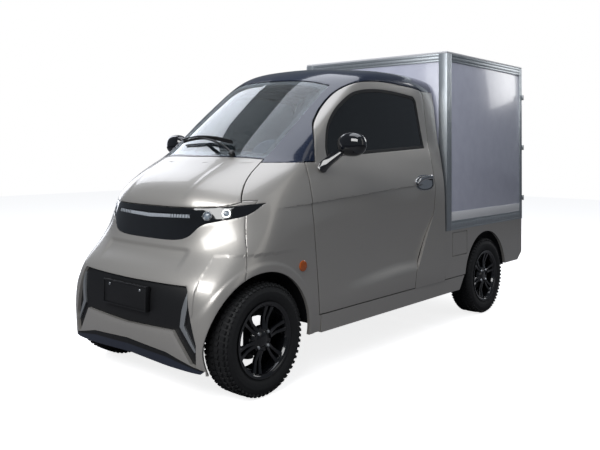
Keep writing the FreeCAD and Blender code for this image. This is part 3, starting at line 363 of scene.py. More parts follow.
belt = 1148
DOOR = [
    ("line", [(440, belt), (362, belt), (372, 900), (420, 335), (1379, 335), (1389, 426),
              (1619, 804), (1640, 945), (1630, 1180), (1627, 1560)]),
    ("curve", [(1627, 1560), (1612, 1606), (1560, 1622), (1383, 1634), (1147, 1643),
               (950, 1628), (825, 1595), (707, 1533), (566, 1420), (480, 1315), (440, belt)]),
]
WINDOW = [
    ("line", [(1576, 1228), (1534, 1540)]),
    ("curve", [(1534, 1540), (1515, 1562), (1476, 1575), (1232, 1593), (1051, 1592),
               (901, 1574), (798, 1537), (662, 1447), (575, 1350), (540, 1240), (542, 1173)]),
    ("line", [(542, 1173), (1576, 1228)]),
]
SCREEN = [
    ("curve", [(0, 1184), (200, 1184), (330, 1180), (424, 1173)]),
    ("line", [(424, 1173), (424, 1602)]),
    ("curve", [(424, 1602), (330, 1625), (200, 1640), (0, 1645)]),
    ("line", [(0, 1645), (0, 1184)]),
]
BONNET = [
    ("curve", [(0, 1176), (200, 1176), (330, 1172), (424, 1164)]),
    ("curve", [(424, 1164), (448, 1080), (480, 1000), (500, 953)]),
    ("curve", [(500, 953), (440, 934), (300, 926), (150, 924), (0, 924)]),
    ("line", [(0, 924), (0, 1176)]),
]
LAMP_BAND = [
    ("curve", [(0, 919), (150, 919), (300, 921), (440, 929), (575, 948)]),
    ("curve", [(575, 948), (540, 890), (450, 862), (370, 838), (300, 778), (200, 757),
               (0, 754)]),
    ("line", [(0, 754), (0, 919)]),
]
GRILLE = loop([(0, 562), (425, 566), (440, 545), (505, 300), (500, 195), (468, 205),
               (359, 349), (0, 335)])
APRON = loop([(0, 327), (355, 341), (462, 205), (300, 240), (0, 257)])
LIP = loop([(0, 250), (300, 233), (470, 196), (505, 190), (540, 180), (520, 165), (300, 165),
            (0, 178)])
BELOW_LIP = loop([(0, 253), (300, 236), (470, 199), (505, 193), (545, 182), (545, 100), (0, 100)])
NOSE = loop([(-600, 160), (-138, 160), (-138, 560), (-50, 900), (20, 960), (-600, 960)])
WING = loop([(-600, 240), (430, 240), (430, belt), (-600, belt)])
UPPER = loop([(-300, belt), (1800, belt), (1800, 1900), (-300, 1900)])
PILLAR = loop([(1382, 330), (1800, 330), (1800, 1612), (1382, 1612)])
LED_STRIP = loop([(0, 881), (292, 889), (298, 872), (0, 862)])
BOOMERANG = loop([(437, 541), (447, 470), (430, 380), (499, 268), (490, 262), (402, 372), (413, 450)])
SKID = loop([(0, 222), (300, 212), (488, 187), (540, 180), (520, 160), (300, 160), (0, 170)])
arch_middle, arch_radius = (0, 280), 333
ARCH = loop([(arch_middle[0] + arch_radius * math.cos(a), arch_middle[1] + arch_radius * math.sin(a))
             for a in np.arange(0, 2 * math.pi, math.pi / 90)])
shut_line, seam, tight = 6, 1.2, 0.5
door_crease = [(60, 913), (346, 929), (1394, 988)]
flare_crease = [(430, 385), (1180, 440), (1379, 440)]

# each cut: outline, the view it is drawn in, how far back it reaches, and its two edges
CUTS = {
    "door": (DOOR, "side", 9999, (0, shut_line)),
    "window": (WINDOW, "side", 9999, (0, -20)),
    "screen": (SCREEN, "front", 900, (0, tight, -26)),
    "bonnet": (BONNET, "front", 300, (0, 4)),
    "lamp": (LAMP_BAND, "front", 120, (-tight, tight)),
    "strip": (LED_STRIP, "front", 120, (0,)),
    "grille": (GRILLE, "front", 120, (0, 12)),
    "boomerang": (BOOMERANG, "front", 120, (0,)),
    "skid": (SKID, "front", 120, (0,)),
    "apron": (APRON, "front", 120, (0,)),
    "lip": (LIP, "front", 120, (0,)),
    "below": (BELOW_LIP, "front", 120, (0,)),
    "nose": (NOSE, "side", 9999, (-seam, seam)),
    "wing": (WING, "side", 9999, (-seam, seam)),
    "upper": (UPPER, "side", 9999, (-seam, seam)),
    "pillar": (PILLAR, "side", 9999, (-seam, seam)),
    "arch": (ARCH, "side", 9999, (0,)),
}
rings = {(name, edge): grown(sampled(runs), edge)
         for name, (runs, view, back, edges) in CUTS.items() for edge in edges}

flat_scale = 2.5
cut_spots, cut_edges = [], []


def add_cut(spots, closed):
    """Constraint edges along a line of seated spots, broken where it leaves the skin."""
    index = [None if np.isnan(s[0]) else len(cut_spots) + k for k, s in
             zip(np.cumsum(~np.isnan(spots[:, 0])) - 1, spots)]
    cut_spots.extend(s for s in spots if not np.isnan(s[0]))
    pairs = list(zip(index, index[1:] + index[:1])) if closed else list(zip(index, index[1:]))
    for first, second in pairs:
        if first is None or second is None:
            continue
        if np.linalg.norm(cut_spots[first] - cut_spots[second]) < 0.03:
            cut_edges.append((first, second))


for (name, edge), ring in rings.items():
    add_cut(seat(ring, CUTS[name][1]), True)
for crease in (door_crease, flare_crease):
    add_cut(seat(np.array(straight_run(crease, 9)), "side"), False)

columns, lines = 190, 190
near_cut = kdtree.KDTree(len(cut_spots))
for k, spot in enumerate(cut_spots):
    near_cut.insert((spot[0] * flat_scale, spot[1] * flat_scale, 0), k)
near_cut.balance()
free = []
for r in range(lines + 1):
    for c in range(columns + 1):
        spot = (c / columns, r / lines)
        edge_spot = r in (0, lines) or c in (0, columns)
        clear = near_cut.find((spot[0] * flat_scale, spot[1] * flat_scale, 0))[2] > 0.0045
        if edge_spot or clear:
            free.append(spot)
flat = [Vector((s[0] * flat_scale, s[1] * flat_scale)) for s in cut_spots + free]
flat_points, _, skin_triangles, *_ = geometry.delaunay_2d_cdt(flat, cut_edges, [], 0, 1e-6)
skin_spots = np.clip(np.array([tuple(p) for p in flat_points]) / flat_scale, 0, 1)
skin_triangles = np.array([t for t in skin_triangles if len(t) == 3])
skin_points = skin_at(skin_spots)
skin_outward = skin_normals(skin_spots)
middle_line = (skin_spots[:, 0] < 1e-6) | (skin_points[:, 0] < 0.02)
skin_points[middle_line, 0] = 0
skin_outward[middle_line, 0] = 0
middles = skin_points[skin_triangles].mean(axis=1)
spans = skin_points[skin_triangles]
areas = np.linalg.norm(np.cross(spans[:, 1] - spans[:, 0], spans[:, 2] - spans[:, 0]), axis=1)


def within(ring, points):
    """Which points lie inside a ring."""
    odd = np.zeros(len(points), bool)
    for (x0, y0), (x1, y1) in zip(ring, np.roll(ring, -1, 0)):
        if y0 == y1:
            continue
        level = (points[:, 1] >= min(y0, y1)) & (points[:, 1] < max(y0, y1))
        cross = x0 + (points[:, 1] - y0) / (y1 - y0) * (x1 - x0)
        odd ^= level & (points[:, 0] < cross)
    return odd


def inside(name, edge=0):
    runs, view, back, edges = CUTS[name]
    return within(rings[name, edge], middles[:, VIEWS[view]]) & (middles[:, 1] < back)


solid_skin = (areas > 1e-3) & ~inside("arch")
in_door, door_hole = inside("door"), inside("door", shut_line)
in_window, in_pane = inside("window"), inside("window", -20)
in_screen, screen_hole = inside("screen"), inside("screen", tight)
in_bonnet, bonnet_hole = inside("bonnet"), inside("bonnet", 4)
in_lamp, lamp_hole = inside("lamp", -tight), inside("lamp", tight)
in_nose, nose_space = inside("nose", -seam), inside("nose", seam)
in_wing, in_upper = inside("wing", -seam), inside("upper", -seam)
in_pillar, pillar_space = inside("pillar", -seam), inside("pillar", seam)
in_grille, in_apron, in_lip = inside("grille"), inside("apron"), inside("lip")

opened = door_hole | screen_hole | bonnet_hole | lamp_hole
skin_regions = {
    "door": in_door & ~in_window,
    "door_seal": in_door & in_window & ~in_pane,
    "pane": in_door & in_pane,
    "screen": in_screen,
    "frit": in_screen & ~inside("screen", -26),
    "bonnet": in_bonnet & ~lamp_hole,
    "lamp": in_lamp & ~inside("strip"),
    "led": in_lamp & inside("strip"),
    "bumper": in_nose & ~opened & ~in_grille & ~in_apron & ~inside("below"),
    "apron": in_apron & in_nose,
    "lip": in_lip & ~inside("skid"),
    "skid": in_lip & inside("skid"),
    "grille": inside("grille", 12) & ~in_lip & ~in_lamp,
    "boomerang": inside("boomerang"),
    "wing": in_wing & ~nose_space & ~opened,
    "roof": in_upper & ~opened & ~pillar_space,
    "post": in_pillar & ~opened,
}
skin_regions = {name: chosen & solid_skin for name, chosen in skin_regions.items()}


def ease(value):
    value = np.clip(value, 0, 1)
    return value * value * (3 - 2 * value)


def relief(points):
    """How far the pressed shape sinks below the plain skin, in millimetres."""
    x, y, z = points.T
    crease_z = np.interp(y, *zip(*door_crease))
    below = crease_z - z
    sink = 6 * ease(1 - below / 120) * (below > 0) * ease((y - 60) / 300) * ease((1560 - y) / 220)
    flare_z = np.interp(y, *zip(*flare_crease))
    rise = z - flare_z
    swell = ease((y - 430) / 700) * (y > 430)
    sink += 20 * swell * ease(rise / 75) * ease((430 - rise) / 330)
    from_arch = np.hypot(y - arch_middle[0], z - arch_middle[1]) - arch_radius
    sink += 4.5 * ease((from_arch - 34) / 16) * ease((170 - from_arch) / 110) * (x > 480) * (z < 700)
    side_fade = ease((345 - x) / 40)
    sink += 9 * ease((727 - z) / 16) * ease((z - 610) / 80) * side_fade * (y < -150)
    ridge = 255 + (z - 1000) * 0.12
    sink += 3.5 * ease((ridge - x) / 26) * ease((z - 935) / 60) * ease((1170 - z) / 60) * (y < 260)
    return sink


skin_sink = relief(skin_points)


def piece_from(name, verts, faces, body, finishes, faces_of=None, sharp=32):
    """A mesh piece in metres on a body, with its finishes."""
    mesh = bpy.data.meshes.new(name)
    mesh.from_pydata([tuple(map(float, v)) for v in verts], [], [tuple(map(int, f)) for f in faces])
    for finish in finishes:
        mesh.materials.append(finish)
    if faces_of is not None:
        mesh.polygons.foreach_set("material_index", list(map(int, faces_of)))
    mesh.polygons.foreach_set("use_smooth", [True] * len(mesh.polygons))
    mesh.validate()
    mesh.update()
    mesh.set_sharp_from_angle(angle=math.radians(sharp))
    piece = bpy.data.objects.new(name, mesh)
    scene.collection.objects.link(piece)
    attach(piece, body)
    return piece


def skin_piece(name, region, body, finishes, depth, wall, sides="both"):
    """A wall of the skin: from a depth below the surface, so thick, on one side or both."""
    triangles = skin_triangles[skin_regions[region]]
    used, triangles = np.unique(triangles, return_inverse=True)
    triangles = triangles.reshape(-1, 3)
    out = skin_outward[used]
    face = skin_points[used] - out * (depth + skin_sink[used])[:, None]
    back = face - out * wall
    on_middle = middle_line[used]
    face[on_middle, 0] = back[on_middle, 0] = 0
    if sides == "both":
        other = np.arange(len(used)) + len(used)
        other[on_middle] = np.arange(len(used))[on_middle]
        face = np.concatenate([face, face * (-1, 1, 1)])
        back = np.concatenate([back, back * (-1, 1, 1)])
        triangles = np.concatenate([triangles, other[triangles][:, ::-1]])
    elif sides == "right":
        face, back = face * (-1, 1, 1), back * (-1, 1, 1)
        triangles = triangles[:, ::-1]
    directed = {}
    for a, b, c in triangles.tolist():
        for edge in ((a, b), (b, c), (c, a)):
            directed[edge] = True
    rim = [edge for edge in directed if edge[::-1] not in directed]
    edge_points = np.unique(np.array(rim).ravel())
    inward = (back - face) / wall
    face[edge_points] += inward[edge_points] * min(0.9, wall * 0.2)
    count = len(face)
    verts = np.concatenate([face, back]) * MM
    verts[:, 1] += front_axle
    faces = triangles.tolist() + (triangles[:, ::-1] + count).tolist()
    faces += [(b, a, a + count, b + count) for a, b in rim]
    of = [0] * len(triangles) + [len(finishes) - 1] * len(triangles) + [0] * len(rim)
    used_verts = sorted({v for f in faces for v in f})
    renumber = {v: k for k, v in enumerate(used_verts)}
    faces = [[renumber[v] for v in f] for f in faces]
    return piece_from(name, verts[used_verts], faces, body, finishes, of)


def new_finish(name, **shader):
    """A material with one Principled shader and its constant settings."""
    finish = bpy.data.materials.new(name)
    finish.use_nodes = True
    bsdf = finish.node_tree.nodes["Principled BSDF"]
    for key, value in shader.items():
        bsdf.inputs[key.replace("_", " ")].default_value = value
    return finish, finish.node_tree, bsdf


def grained(name, low, high, grain_mm, bump_mm=0.0, stretch=(1, 1, 1), **shader):
    """A finish that wanders between two colours over a grain of a real size, with its relief."""
    finish, tree, bsdf = new_finish(name, **shader)
    place = add_node(tree, "ShaderNodeTexCoord")
    turned = add_node(tree, "ShaderNodeMapping", {"Scale": stretch},
                      {"Vector": place.outputs["Object"]})
    grain = add_node(tree, "ShaderNodeTexNoise", {"Scale": 1000 / grain_mm, "Detail": 3.0},
                     {"Vector": turned.outputs[0]})
    ramp = add_node(tree, "ShaderNodeValToRGB", links={"Fac": grain.outputs["Fac"]})
    ramp.color_ramp.elements[0].color, ramp.color_ramp.elements[1].color = srgb(low), srgb(high)
    ramp.color_ramp.elements[0].position, ramp.color_ramp.elements[1].position = 0.3, 0.7
    tree.links.new(ramp.outputs["Color"], bsdf.inputs["Base Color"])
    if bump_mm:
        bump = add_node(tree, "ShaderNodeBump", {"Strength": 0.5, "Distance": bump_mm * MM},
                        {"Height": grain.outputs["Fac"]})
        tree.links.new(bump.outputs["Normal"], bsdf.inputs["Normal"])
    return finish


# Champagne metallic lacquer: aluminium flake, far finer than shows, drawn at 1.5 mm so it glints
body_paint = grained("champagne_metallic_lacquer", "#aeaba6", "#b8b5b0", 1.5,
                     Metallic=0.5, Roughness=0.36, Coat_Weight=0.7, Coat_Roughness=0.06)
# Blue-black gloss lacquer with a slight orange peel, about 12 mm across
roof_paint = grained("blue_black_gloss_lacquer", "#1a2338", "#222c42", 12, 0.02,
                     Roughness=0.2, Coat_Weight=1.0, Coat_Roughness=0.04)
# The cab's lining, a grey grained polypropylene moulding
lining = grained("grained_cabin_lining", "#6a6c70", "#76787c", 3, 0.15, Roughness=0.7)

# ================================================================ bumper, wings, bonnet and roof
# The painted panels of the cab, pressed sheet with a moulded lining behind.  Each ends in a shut
# line or a fine seam against the next one.

for name, region, node, body, slot, finish in (
        ("bumper_skin", "bumper", ("front_bumper",), "chassis", "body_paint", body_paint),
        ("bonnet_skin", "bonnet", ("bonnet",), "bonnet", "body_paint", body_paint),
        ("wing_skins", "wing", ("front_wings",), "chassis", "body_paint", body_paint),
        ("roof_skin", "roof", ("roof_shell",), "chassis", "roof_black", roof_paint)):
    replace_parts(skin_piece(name, region, body, (finish, lining), 0, 18), *node)
skin_piece("apron_skin", "apron", "chassis", (body_paint, lining), 0, 18)
skin_piece("post_skins", "post", "chassis", (body_paint, lining), -0.4, 17)

# ================================================================ cab doors and their glass
# Pressed doors with a moulded lining, a black rubber seal round a tinted pane, and a shut line all
# round.  Each swings on the wing, with its mirror and handle.

# Extruded black rubber, matt, with fine mould texture
rubber = grained("extruded_black_rubber", "#0c0d0f", "#141518", 2.5, 0.05, Roughness=0.62)
# Privacy glass: float glass tinted in the melt, nearly black from outside
tinted_glass = grained("tinted_float_glass", "#2a3034", "#30363a", 400, Transmission_Weight=0.75,
                       Roughness=0.02, IOR=1.5, Coat_Weight=0.6, Coat_Roughness=0.01)
for side in ("left", "right"):
    body = "cab_door_" + side
    door = skin_piece(f"door_skin_{side}", "door", body, (body_paint, lining), 0, 40, side)
    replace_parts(door, body)
    skin_piece(f"window_seal_{side}", "door_seal", body, (rubber,), 1.5, 9, side)
    pane = skin_piece(f"door_pane_{side}", "pane", body, (tinted_glass,), 4, 5, side)
    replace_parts(pane, "door_glass_" + side)

# ================================================================ windscreen
# Laminated glass bonded to the frame, with a fired black border that hides the adhesive.

# Laminated glass, a faint blue-green from its iron
screen_glass = grained("laminated_float_glass", "#d3dde4", "#dae3e9", 600, Transmission_Weight=1.0,
                       Roughness=0.0, IOR=1.45)
# Fired ceramic ink on the glass, smooth and black
frit_ink = grained("fired_ceramic_ink", "#0e1014", "#13151a", 4, Roughness=0.3)
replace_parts(skin_piece("screen_pane", "screen", "chassis", (screen_glass,), 4, 5),
            "windscreen")
skin_piece("screen_border", "frit", "chassis", (frit_ink,), 9.2, 1.2)

# ================================================================ lamp band
# One polished black cover across the nose.  A milky light strip runs along its upper part, ribbed
# at its ends, and two projector lenses sit at each side.


def skin_place(point, view):
    """The place, outward direction and two tangents on the left skin at a point of a view, in metres."""
    spot = seat(np.array([point], float), view)
    place = skin_at(spot)[0] * MM + (0, front_axle, 0)
    out = Vector(skin_normals(spot)[0])
    across = Vector((-out.y, out.x, 0)).normalized()
    return Vector(place), out, across, out.cross(across)


def turned(profile, place, axis, count=36):
    """Points and faces of a shape turned about an axis, from (radius, height) pairs end to end."""
    axis = Vector(axis).normalized()
    first = axis.orthogonal().normalized()
    second = axis.cross(first)
    verts, faces = [], []
    rings_of = []
    for radius, height in profile:
        if radius < 1e-7:
            rings_of.append([len(verts)])
            verts.append(place + axis * height)
            continue
        rings_of.append(list(range(len(verts), len(verts) + count)))
        for k in range(count):
            a = 2 * math.pi * k / count
            verts.append(place + axis * height + (first * math.cos(a) + second * math.sin(a)) * radius)
    for low, high in zip(rings_of, rings_of[1:]):
        for k in range(count):
            n = (k + 1) % count
            if len(low) == 1:
                faces.append((low[0], high[n], high[k]))
            elif len(high) == 1:
                faces.append((low[k], low[n], high[0]))
            else:
                faces.append((low[k], low[n], high[n], high[k]))
    return verts, faces


def boxed(corner, along_u, along_v, along_w):
    """Points and faces of a block from a corner and three edges."""
    corner = Vector(corner)
    u, v, w = Vector(along_u), Vector(along_v), Vector(along_w)
    verts = [corner + u * i + v * j + w * k for k in (0, 1) for j in (0, 1) for i in (0, 1)]
    faces = [(0, 2, 3, 1), (4, 5, 7, 6), (0, 1, 5, 4), (2, 6, 7, 3), (0, 4, 6, 2), (1, 3, 7, 5)]
    if u.cross(v).dot(w) < 0:
        faces = [f[::-1] for f in faces]
    return verts, faces


def merged(parts):
    verts, faces = [], []
    for part_verts, part_faces in parts:
        shift = len(verts)
        verts += list(part_verts)
        faces += [tuple(i + shift for i in face) for face in part_faces]
    return verts, faces


def flipped(part):
    """The same shape on the vehicle's other side."""
    verts, faces = part
    return [Vector((-v[0], v[1], v[2])) for v in verts], [tuple(reversed(f)) for f in faces]


def soften(piece, width, segments=2, angle=35):
    """A rounded edge of a real width on every sharp corner of a piece, applied."""
    bevel = piece.modifiers.new("edge", "BEVEL")
    bevel.width = width
    bevel.segments = segments
    bevel.limit_method = "ANGLE"
    bevel.angle_limit = math.radians(angle)
    bevel.harden_normals = False
    graph = bpy.context.evaluated_depsgraph_get()
    mesh = bpy.data.meshes.new_from_object(piece.evaluated_get(graph))
    piece.modifiers.clear()
    piece.data = mesh
    mesh.polygons.foreach_set("use_smooth", [True] * len(mesh.polygons))
    mesh.set_sharp_from_angle(angle=math.radians(30))
    return piece


def solid(name, part, body, finish, edge=0.0):
    piece = piece_from(name, part[0], part[1], body, (finish,))
    return soften(piece, edge) if edge else piece


# Polished black acrylic over a black housing, smoother than paint
lamp_acrylic = grained("polished_black_acrylic", "#07080a", "#0b0d11", 60, Roughness=0.06,
                       Coat_Weight=1.0, Coat_Roughness=0.02)
# Milky acrylic that spreads the light of the diodes behind it
milk_acrylic = grained("milk_acrylic", "#aab0b8", "#bcc2c9", 8, Roughness=0.25,
                       Transmission_Weight=0.1, Coat_Weight=0.5, Coat_Roughness=0.05)
# Clear moulded acrylic lens with a blue-grey cast over its bright bowl
lens_acrylic = grained("clear_acrylic_lens", "#8fa0b4", "#c6d2de", 3, Roughness=0.05,
                       Transmission_Weight=0.6, Coat_Weight=1.0, Coat_Roughness=0.02)
# Chrome plate on ABS, nearly a mirror
chrome = grained("chrome_plate", "#c8cacd", "#d4d6d8", 15, Metallic=1.0, Roughness=0.12)
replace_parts(skin_piece("lamp_cover", "lamp", "chassis", (lamp_acrylic,), 2, 34),
            "light_bar")
skin_piece("light_strip", "led", "chassis", (milk_acrylic,), 3.2, 12)
rib_parts, bowl_parts, lens_parts = [], [], []
for x in np.arange(172, 292, 19):
    place, out, across, rise = skin_place((x, 875 + x * 0.023), "front")
    place = place - out * 0.0032
    rib_parts.append(boxed(place - across * 0.0014 - rise * 0.010 - out * 0.002, across * 0.0028,
                           rise * 0.020, out * 0.0034))
for x, z, radius in ((388, 886, 0.020), (465, 899, 0.017)):
    place, out, across, rise = skin_place((x, z), "front")
    place = place - out * 0.004
    bowl_parts.append(turned([(0, -0.006), (radius + 0.004, -0.006), (radius + 0.004, 0.0035),
                              (radius, 0.0035), (radius - 0.002, 0.001), (0, 0.0005)], place, out))
    lens_parts.append(turned([(0, -0.002), (radius - 0.003, -0.002), (radius - 0.003, 0.002),
                              (radius * 0.7, 0.0045), (radius * 0.35, 0.0062), (0, 0.0066)],
                             place, out))
for name, parts, slot, finish in (("strip_ribs", rib_parts, "lamp_black", lamp_acrylic),
                                  ("projector_bowls", bowl_parts, "lamp_black", chrome),
                                  ("projector_lenses", lens_parts, "lamp_black", lens_acrylic)):
    solid(name, merged(parts + [flipped(part) for part in parts]), "chassis", finish)

# ================================================================ grille, plate holder and lip
# A grained black moulding fills the lower intake.  A blank plate holder is screwed to its middle,
# a satin silver blade stands at each side, and a dark blue skid hangs under the lip.

# Moulded black polypropylene, fine leather grain
trim_plastic = grained("moulded_black_polypropylene", "#0b0c0e", "#121316", 2.5, 0.1, Roughness=0.5)
# Satin silver paint on plastic
silver_paint = grained("satin_silver_paint", "#9fa3a6", "#aeb2b5", 2, Metallic=0.7, Roughness=0.35)
# Dark blue-black moulding, smoother and a little bluer than the grille
skid_plastic = grained("smooth_navy_polypropylene", "#242936", "#2a303e", 4, 0.05, Roughness=0.42)
grille = skin_piece("grille_moulding", "grille", "chassis", (trim_plastic,), 18.5, 12)
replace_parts(grille, "grille_panel")
skin_piece("intake_blades", "boomerang", "chassis", (silver_paint,), 8, 10)
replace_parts(skin_piece("lip_edge", "lip", "chassis", (trim_plastic,), 0.5, 26),
            "bumper_lip")
skin_piece("lip_skid", "skid", "chassis", (skid_plastic,), 3, 22)

holder_low, holder_high, holder_half = 0.411, 0.536, 0.182
holder_face = cad_box[0][1]
border, holder_step, holder_deep = 0.007, 0.0035, 0.024
holder_parts = [boxed((-holder_half, holder_face + holder_step, holder_low),
                      (2 * holder_half, 0, 0), (0, holder_deep, 0), (0, 0, holder_high - holder_low))]
for low, high in (((-holder_half, holder_low), (holder_half, holder_low + border)),
                  ((-holder_half, holder_high - border), (holder_half, holder_high)),
                  ((-holder_half, holder_low + border), (-holder_half + border, holder_high - border)),
                  ((holder_half - border, holder_low + border), (holder_half, holder_high - border))):
    holder_parts.append(boxed((low[0], holder_face, low[1]), (high[0] - low[0], 0, 0),
                              (0, 0.006, 0), (0, 0, high[1] - low[1])))
solid("plate_holder", merged(holder_parts), "chassis", trim_plastic, 0.001)
# Zinc-plated steel screws and nuts, bright with a slight blue-white haze
zinc = grained("zinc_plated_steel", "#b6babd", "#ced1d3", 4, Metallic=1.0, Roughness=0.28)
screw_profile = [(0, 0), (0.0075, 0), (0.0075, 0.0015), (0.006, 0.0028), (0.003, 0.0033), (0, 0.0033)]
screws = [turned(screw_profile, Vector((x, holder_face + holder_step, 0.513)), (0, -1, 0), 20)
          for x in (-0.129, 0.129)]
solid("holder_screws", merged(screws), "chassis", zinc)

# ================================================================ wiper
# A sprung steel arm, painted black, swings a rubber blade over the screen from a spindle at the
# bonnet's rear corner.

def swept(points, half_wide, half_high, up_hint=(0, 0, 1)):
    """A closed bar of oblong section along points; its size may differ from point to point."""
    points = [Vector(p) for p in points]
    count = len(points)
    wide = half_wide if isinstance(half_wide, (list, tuple)) else [half_wide] * count
    high = half_high if isinstance(half_high, (list, tuple)) else [half_high] * count
    corners = 12
    verts, faces = [], []
    for k, point in enumerate(points):
        line = (points[min(k + 1, count - 1)] - points[max(k - 1, 0)]).normalized()
        side_way = line.cross(Vector(up_hint)).normalized()
        up_way = side_way.cross(line)
        for c in range(corners):
            a = 2 * math.pi * c / corners
            ca, sa = math.cos(a), math.sin(a)
            verts.append(point + side_way * wide[k] * math.copysign(abs(ca) ** 0.6, ca)
                         + up_way * high[k] * math.copysign(abs(sa) ** 0.6, sa))
    for k in range(count - 1):
        for c in range(corners):
            n = (c + 1) % corners
            faces.append((k * corners + c, k * corners + n, (k + 1) * corners + n,
                          (k + 1) * corners + c))
    faces.append(tuple(reversed(range(corners))))
    faces.append(tuple(range((count - 1) * corners, count * corners)))
    return verts, faces


def bent(points, steps=6):
    """A smooth line through points."""
    return [Vector(p) for p in smooth_run(points, 1e9 if steps < 3 else
                                          np.linalg.norm(np.subtract(points[1], points[0])) / steps)
            ] + [Vector(points[-1])]


def on_glass(x, z, lift):
    """A place over the screen, lifted off it, on either side of the middle."""
    place, out, across, rise = skin_place((abs(x) * 1000, z * 1000), "front")
    if x < 0:
        place.x, out.x = -place.x, -out.x
    return place + out * lift


# Black powder coat on the arm, a fine orange peel
powder_coat = grained("black_powder_coat", "#0d0e10", "#151619", 1.5, 0.05, Roughness=0.4)
pivot = on_glass(0.262, 1.183, 0.012)
blade_middle = on_glass(-0.075, 1.268, 0.020)
arm_points = [pivot, on_glass(0.20, 1.203, 0.034), on_glass(0.08, 1.235, 0.036), blade_middle]
blade_points = [on_glass(x, z, lift) for x, z, lift in
                ((-0.25, 1.252, 0.010), (-0.17, 1.262, 0.014), (-0.075, 1.268, 0.016),
                 (0.06, 1.262, 0.014), (0.19, 1.246, 0.010))]
lift_points = [p + Vector((0, -0.008, 0.012)) for p in blade_points]
solid("wiper_arm", merged([swept(bent(arm_points), 0.008, 0.005),
                           turned([(0, -0.012), (0.017, -0.012), (0.017, 0.010), (0.012, 0.016),
                                   (0, 0.017)], pivot, (0, -0.55, 0.83), 24)]),
      "chassis", powder_coat)
solid("wiper_blade", merged([swept(bent(blade_points), 0.004, 0.008),
                             swept(bent(lift_points), 0.005, 0.004)]),
      "chassis", rubber)

# ================================================================ mirrors
# A polished black shell on a short arm from the door, with a silvered glass facing back.

# Piano-black ABS, polished in the mould
gloss_shell = grained("piano_black_abs", "#0a0b0e", "#101217", 40, 0.01, Roughness=0.1,
                      Coat_Weight=1.0, Coat_Roughness=0.02)
# Silvered glass
mirror_glass = grained("silvered_glass", "#dfe3e6", "#e6e9ec", 50, Metallic=1.0, Roughness=0.02)
mirror_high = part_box("mirror_left")[1]
head_size = Vector((0.088, 0.053, 0.066))
head_middle = Vector((mirror_high.x - head_size.x - 0.001, front_axle + 0.553, 1.246))


def pillow(middle, half, power, back_cut, around=48, up_steps=24):
    """A full rounded shell, cut flat where it faces back."""
    verts, faces = [middle + Vector((0, 0, -half.z))], []
    for r in range(1, up_steps):
        lat = -math.pi / 2 + math.pi * r / up_steps
        for c in range(around):
            lon = 2 * math.pi * c / around
            raw = (math.cos(lat) * math.cos(lon), math.cos(lat) * math.sin(lon), math.sin(lat))
            x, y, z = (math.copysign(abs(v) ** power, v) for v in raw)
            verts.append(middle + Vector((x * half.x, min(y * half.y, back_cut), z * half.z)))
    verts.append(middle + Vector((0, 0, half.z)))
    top = len(verts) - 1
    for c in range(around):
        n = (c + 1) % around
        faces.append((0, 1 + n, 1 + c))
        faces.append((top, top - around + c, top - around + n))
        for r in range(up_steps - 2):
            a = 1 + r * around
            faces.append((a + c, a + n, a + around + n, a + around + c))
    return verts, faces


shell = pillow(head_middle, head_size, 0.86, 0.030)
arm_foot = Vector((0.585, front_axle + 0.478, 1.112))
arm_line = bent([arm_foot, Vector((0.622, front_axle + 0.494, 1.150)),
                 head_middle + Vector((-0.050, -0.004, -0.030))])
arm = swept(arm_line, [0.017 + 0.010 * (1 - k / len(arm_line)) for k in range(len(arm_line))],
            [0.020 + 0.012 * (1 - k / len(arm_line)) for k in range(len(arm_line))], (0, 1, 0))
glass_face = turned([(0, 0), (0.050, 0), (0.050, 0.0016), (0, 0.0018)],
                    Vector((0, 0, 0)), (0, 1, 0), 40)
glass_face = ([head_middle + Vector((v.x * 1.4, 0.0300 + v.y, v.z)) for v in glass_face[0]], glass_face[1])
for side in ("left", "right"):
    turn_over = (lambda part: part) if side == "left" else flipped
    body = "cab_door_" + side
    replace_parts(solid(f"mirror_shell_{side}", turn_over(merged([shell, arm])), body,
                      gloss_shell), "mirror_" + side)
    solid(f"mirror_glass_{side}", turn_over(glass_face), body, mirror_glass)

# ================================================================ door handles and side markers
# A black cup let into the door with a plated grip over it, and an amber reflector on each wing.


def skin_patch(ring, view, lift, wall, crown=0.0, steps=6):
    """A cap over the skin inside a ring, lifted and crowned, with its own thickness."""
    ring = np.array(ring, float)
    middle = ring.mean(axis=0)
    spots = [seat(middle[None], view)]
    for step in range(1, steps + 1):
        spots.append(seat(middle + (ring - middle) * step / steps, view))
    spots = np.concatenate(spots)
    count = len(ring)
    share = np.concatenate([[0]] + [np.full(count, step / steps) for step in range(1, steps + 1)])
    out = skin_normals(spots)
    base = skin_at(spots) - out * relief(skin_at(spots))[:, None]
    face = base + out * (lift + crown * (1 - share ** 2))[:, None]
    back = base + out * (lift - wall)
    total = len(face)
    verts = np.concatenate([face, back]) * MM
    verts[:, 1] += front_axle
    faces = []
    for c in range(count):
        n = (c + 1) % count
        faces.append((0, 1 + c, 1 + n))
        for step in range(steps - 1):
            a = 1 + step * count
            faces.append((a + c, a + count + c, a + count + n, a + n))
        a = 1 + (steps - 1) * count
        faces.append((a + c, a + total + c, a + total + n, a + n))
    faces += [tuple(i + total for i in reversed(f)) for f in faces if max(f) < total]
    points = [Vector(v) for v in verts]
    first = faces[len(faces) // 3]
    normal = (points[faces[0][1]] - points[faces[0][0]]).cross(points[faces[0][2]] - points[faces[0][0]])
    if normal.dot(Vector(out[0])) < 0:
        faces = [tuple(reversed(f)) for f in faces]
    return points, faces


def oval(middle, half_wide, half_high, power=0.8, count=40):
    ring = []
    for k in range(count):
        a = 2 * math.pi * k / count
        ca, sa = math.cos(a), math.sin(a)
        ring.append((middle[0] + half_wide * math.copysign(abs(ca) ** power, ca),
                     middle[1] + half_high * math.copysign(abs(sa) ** power, sa)))
    return ring


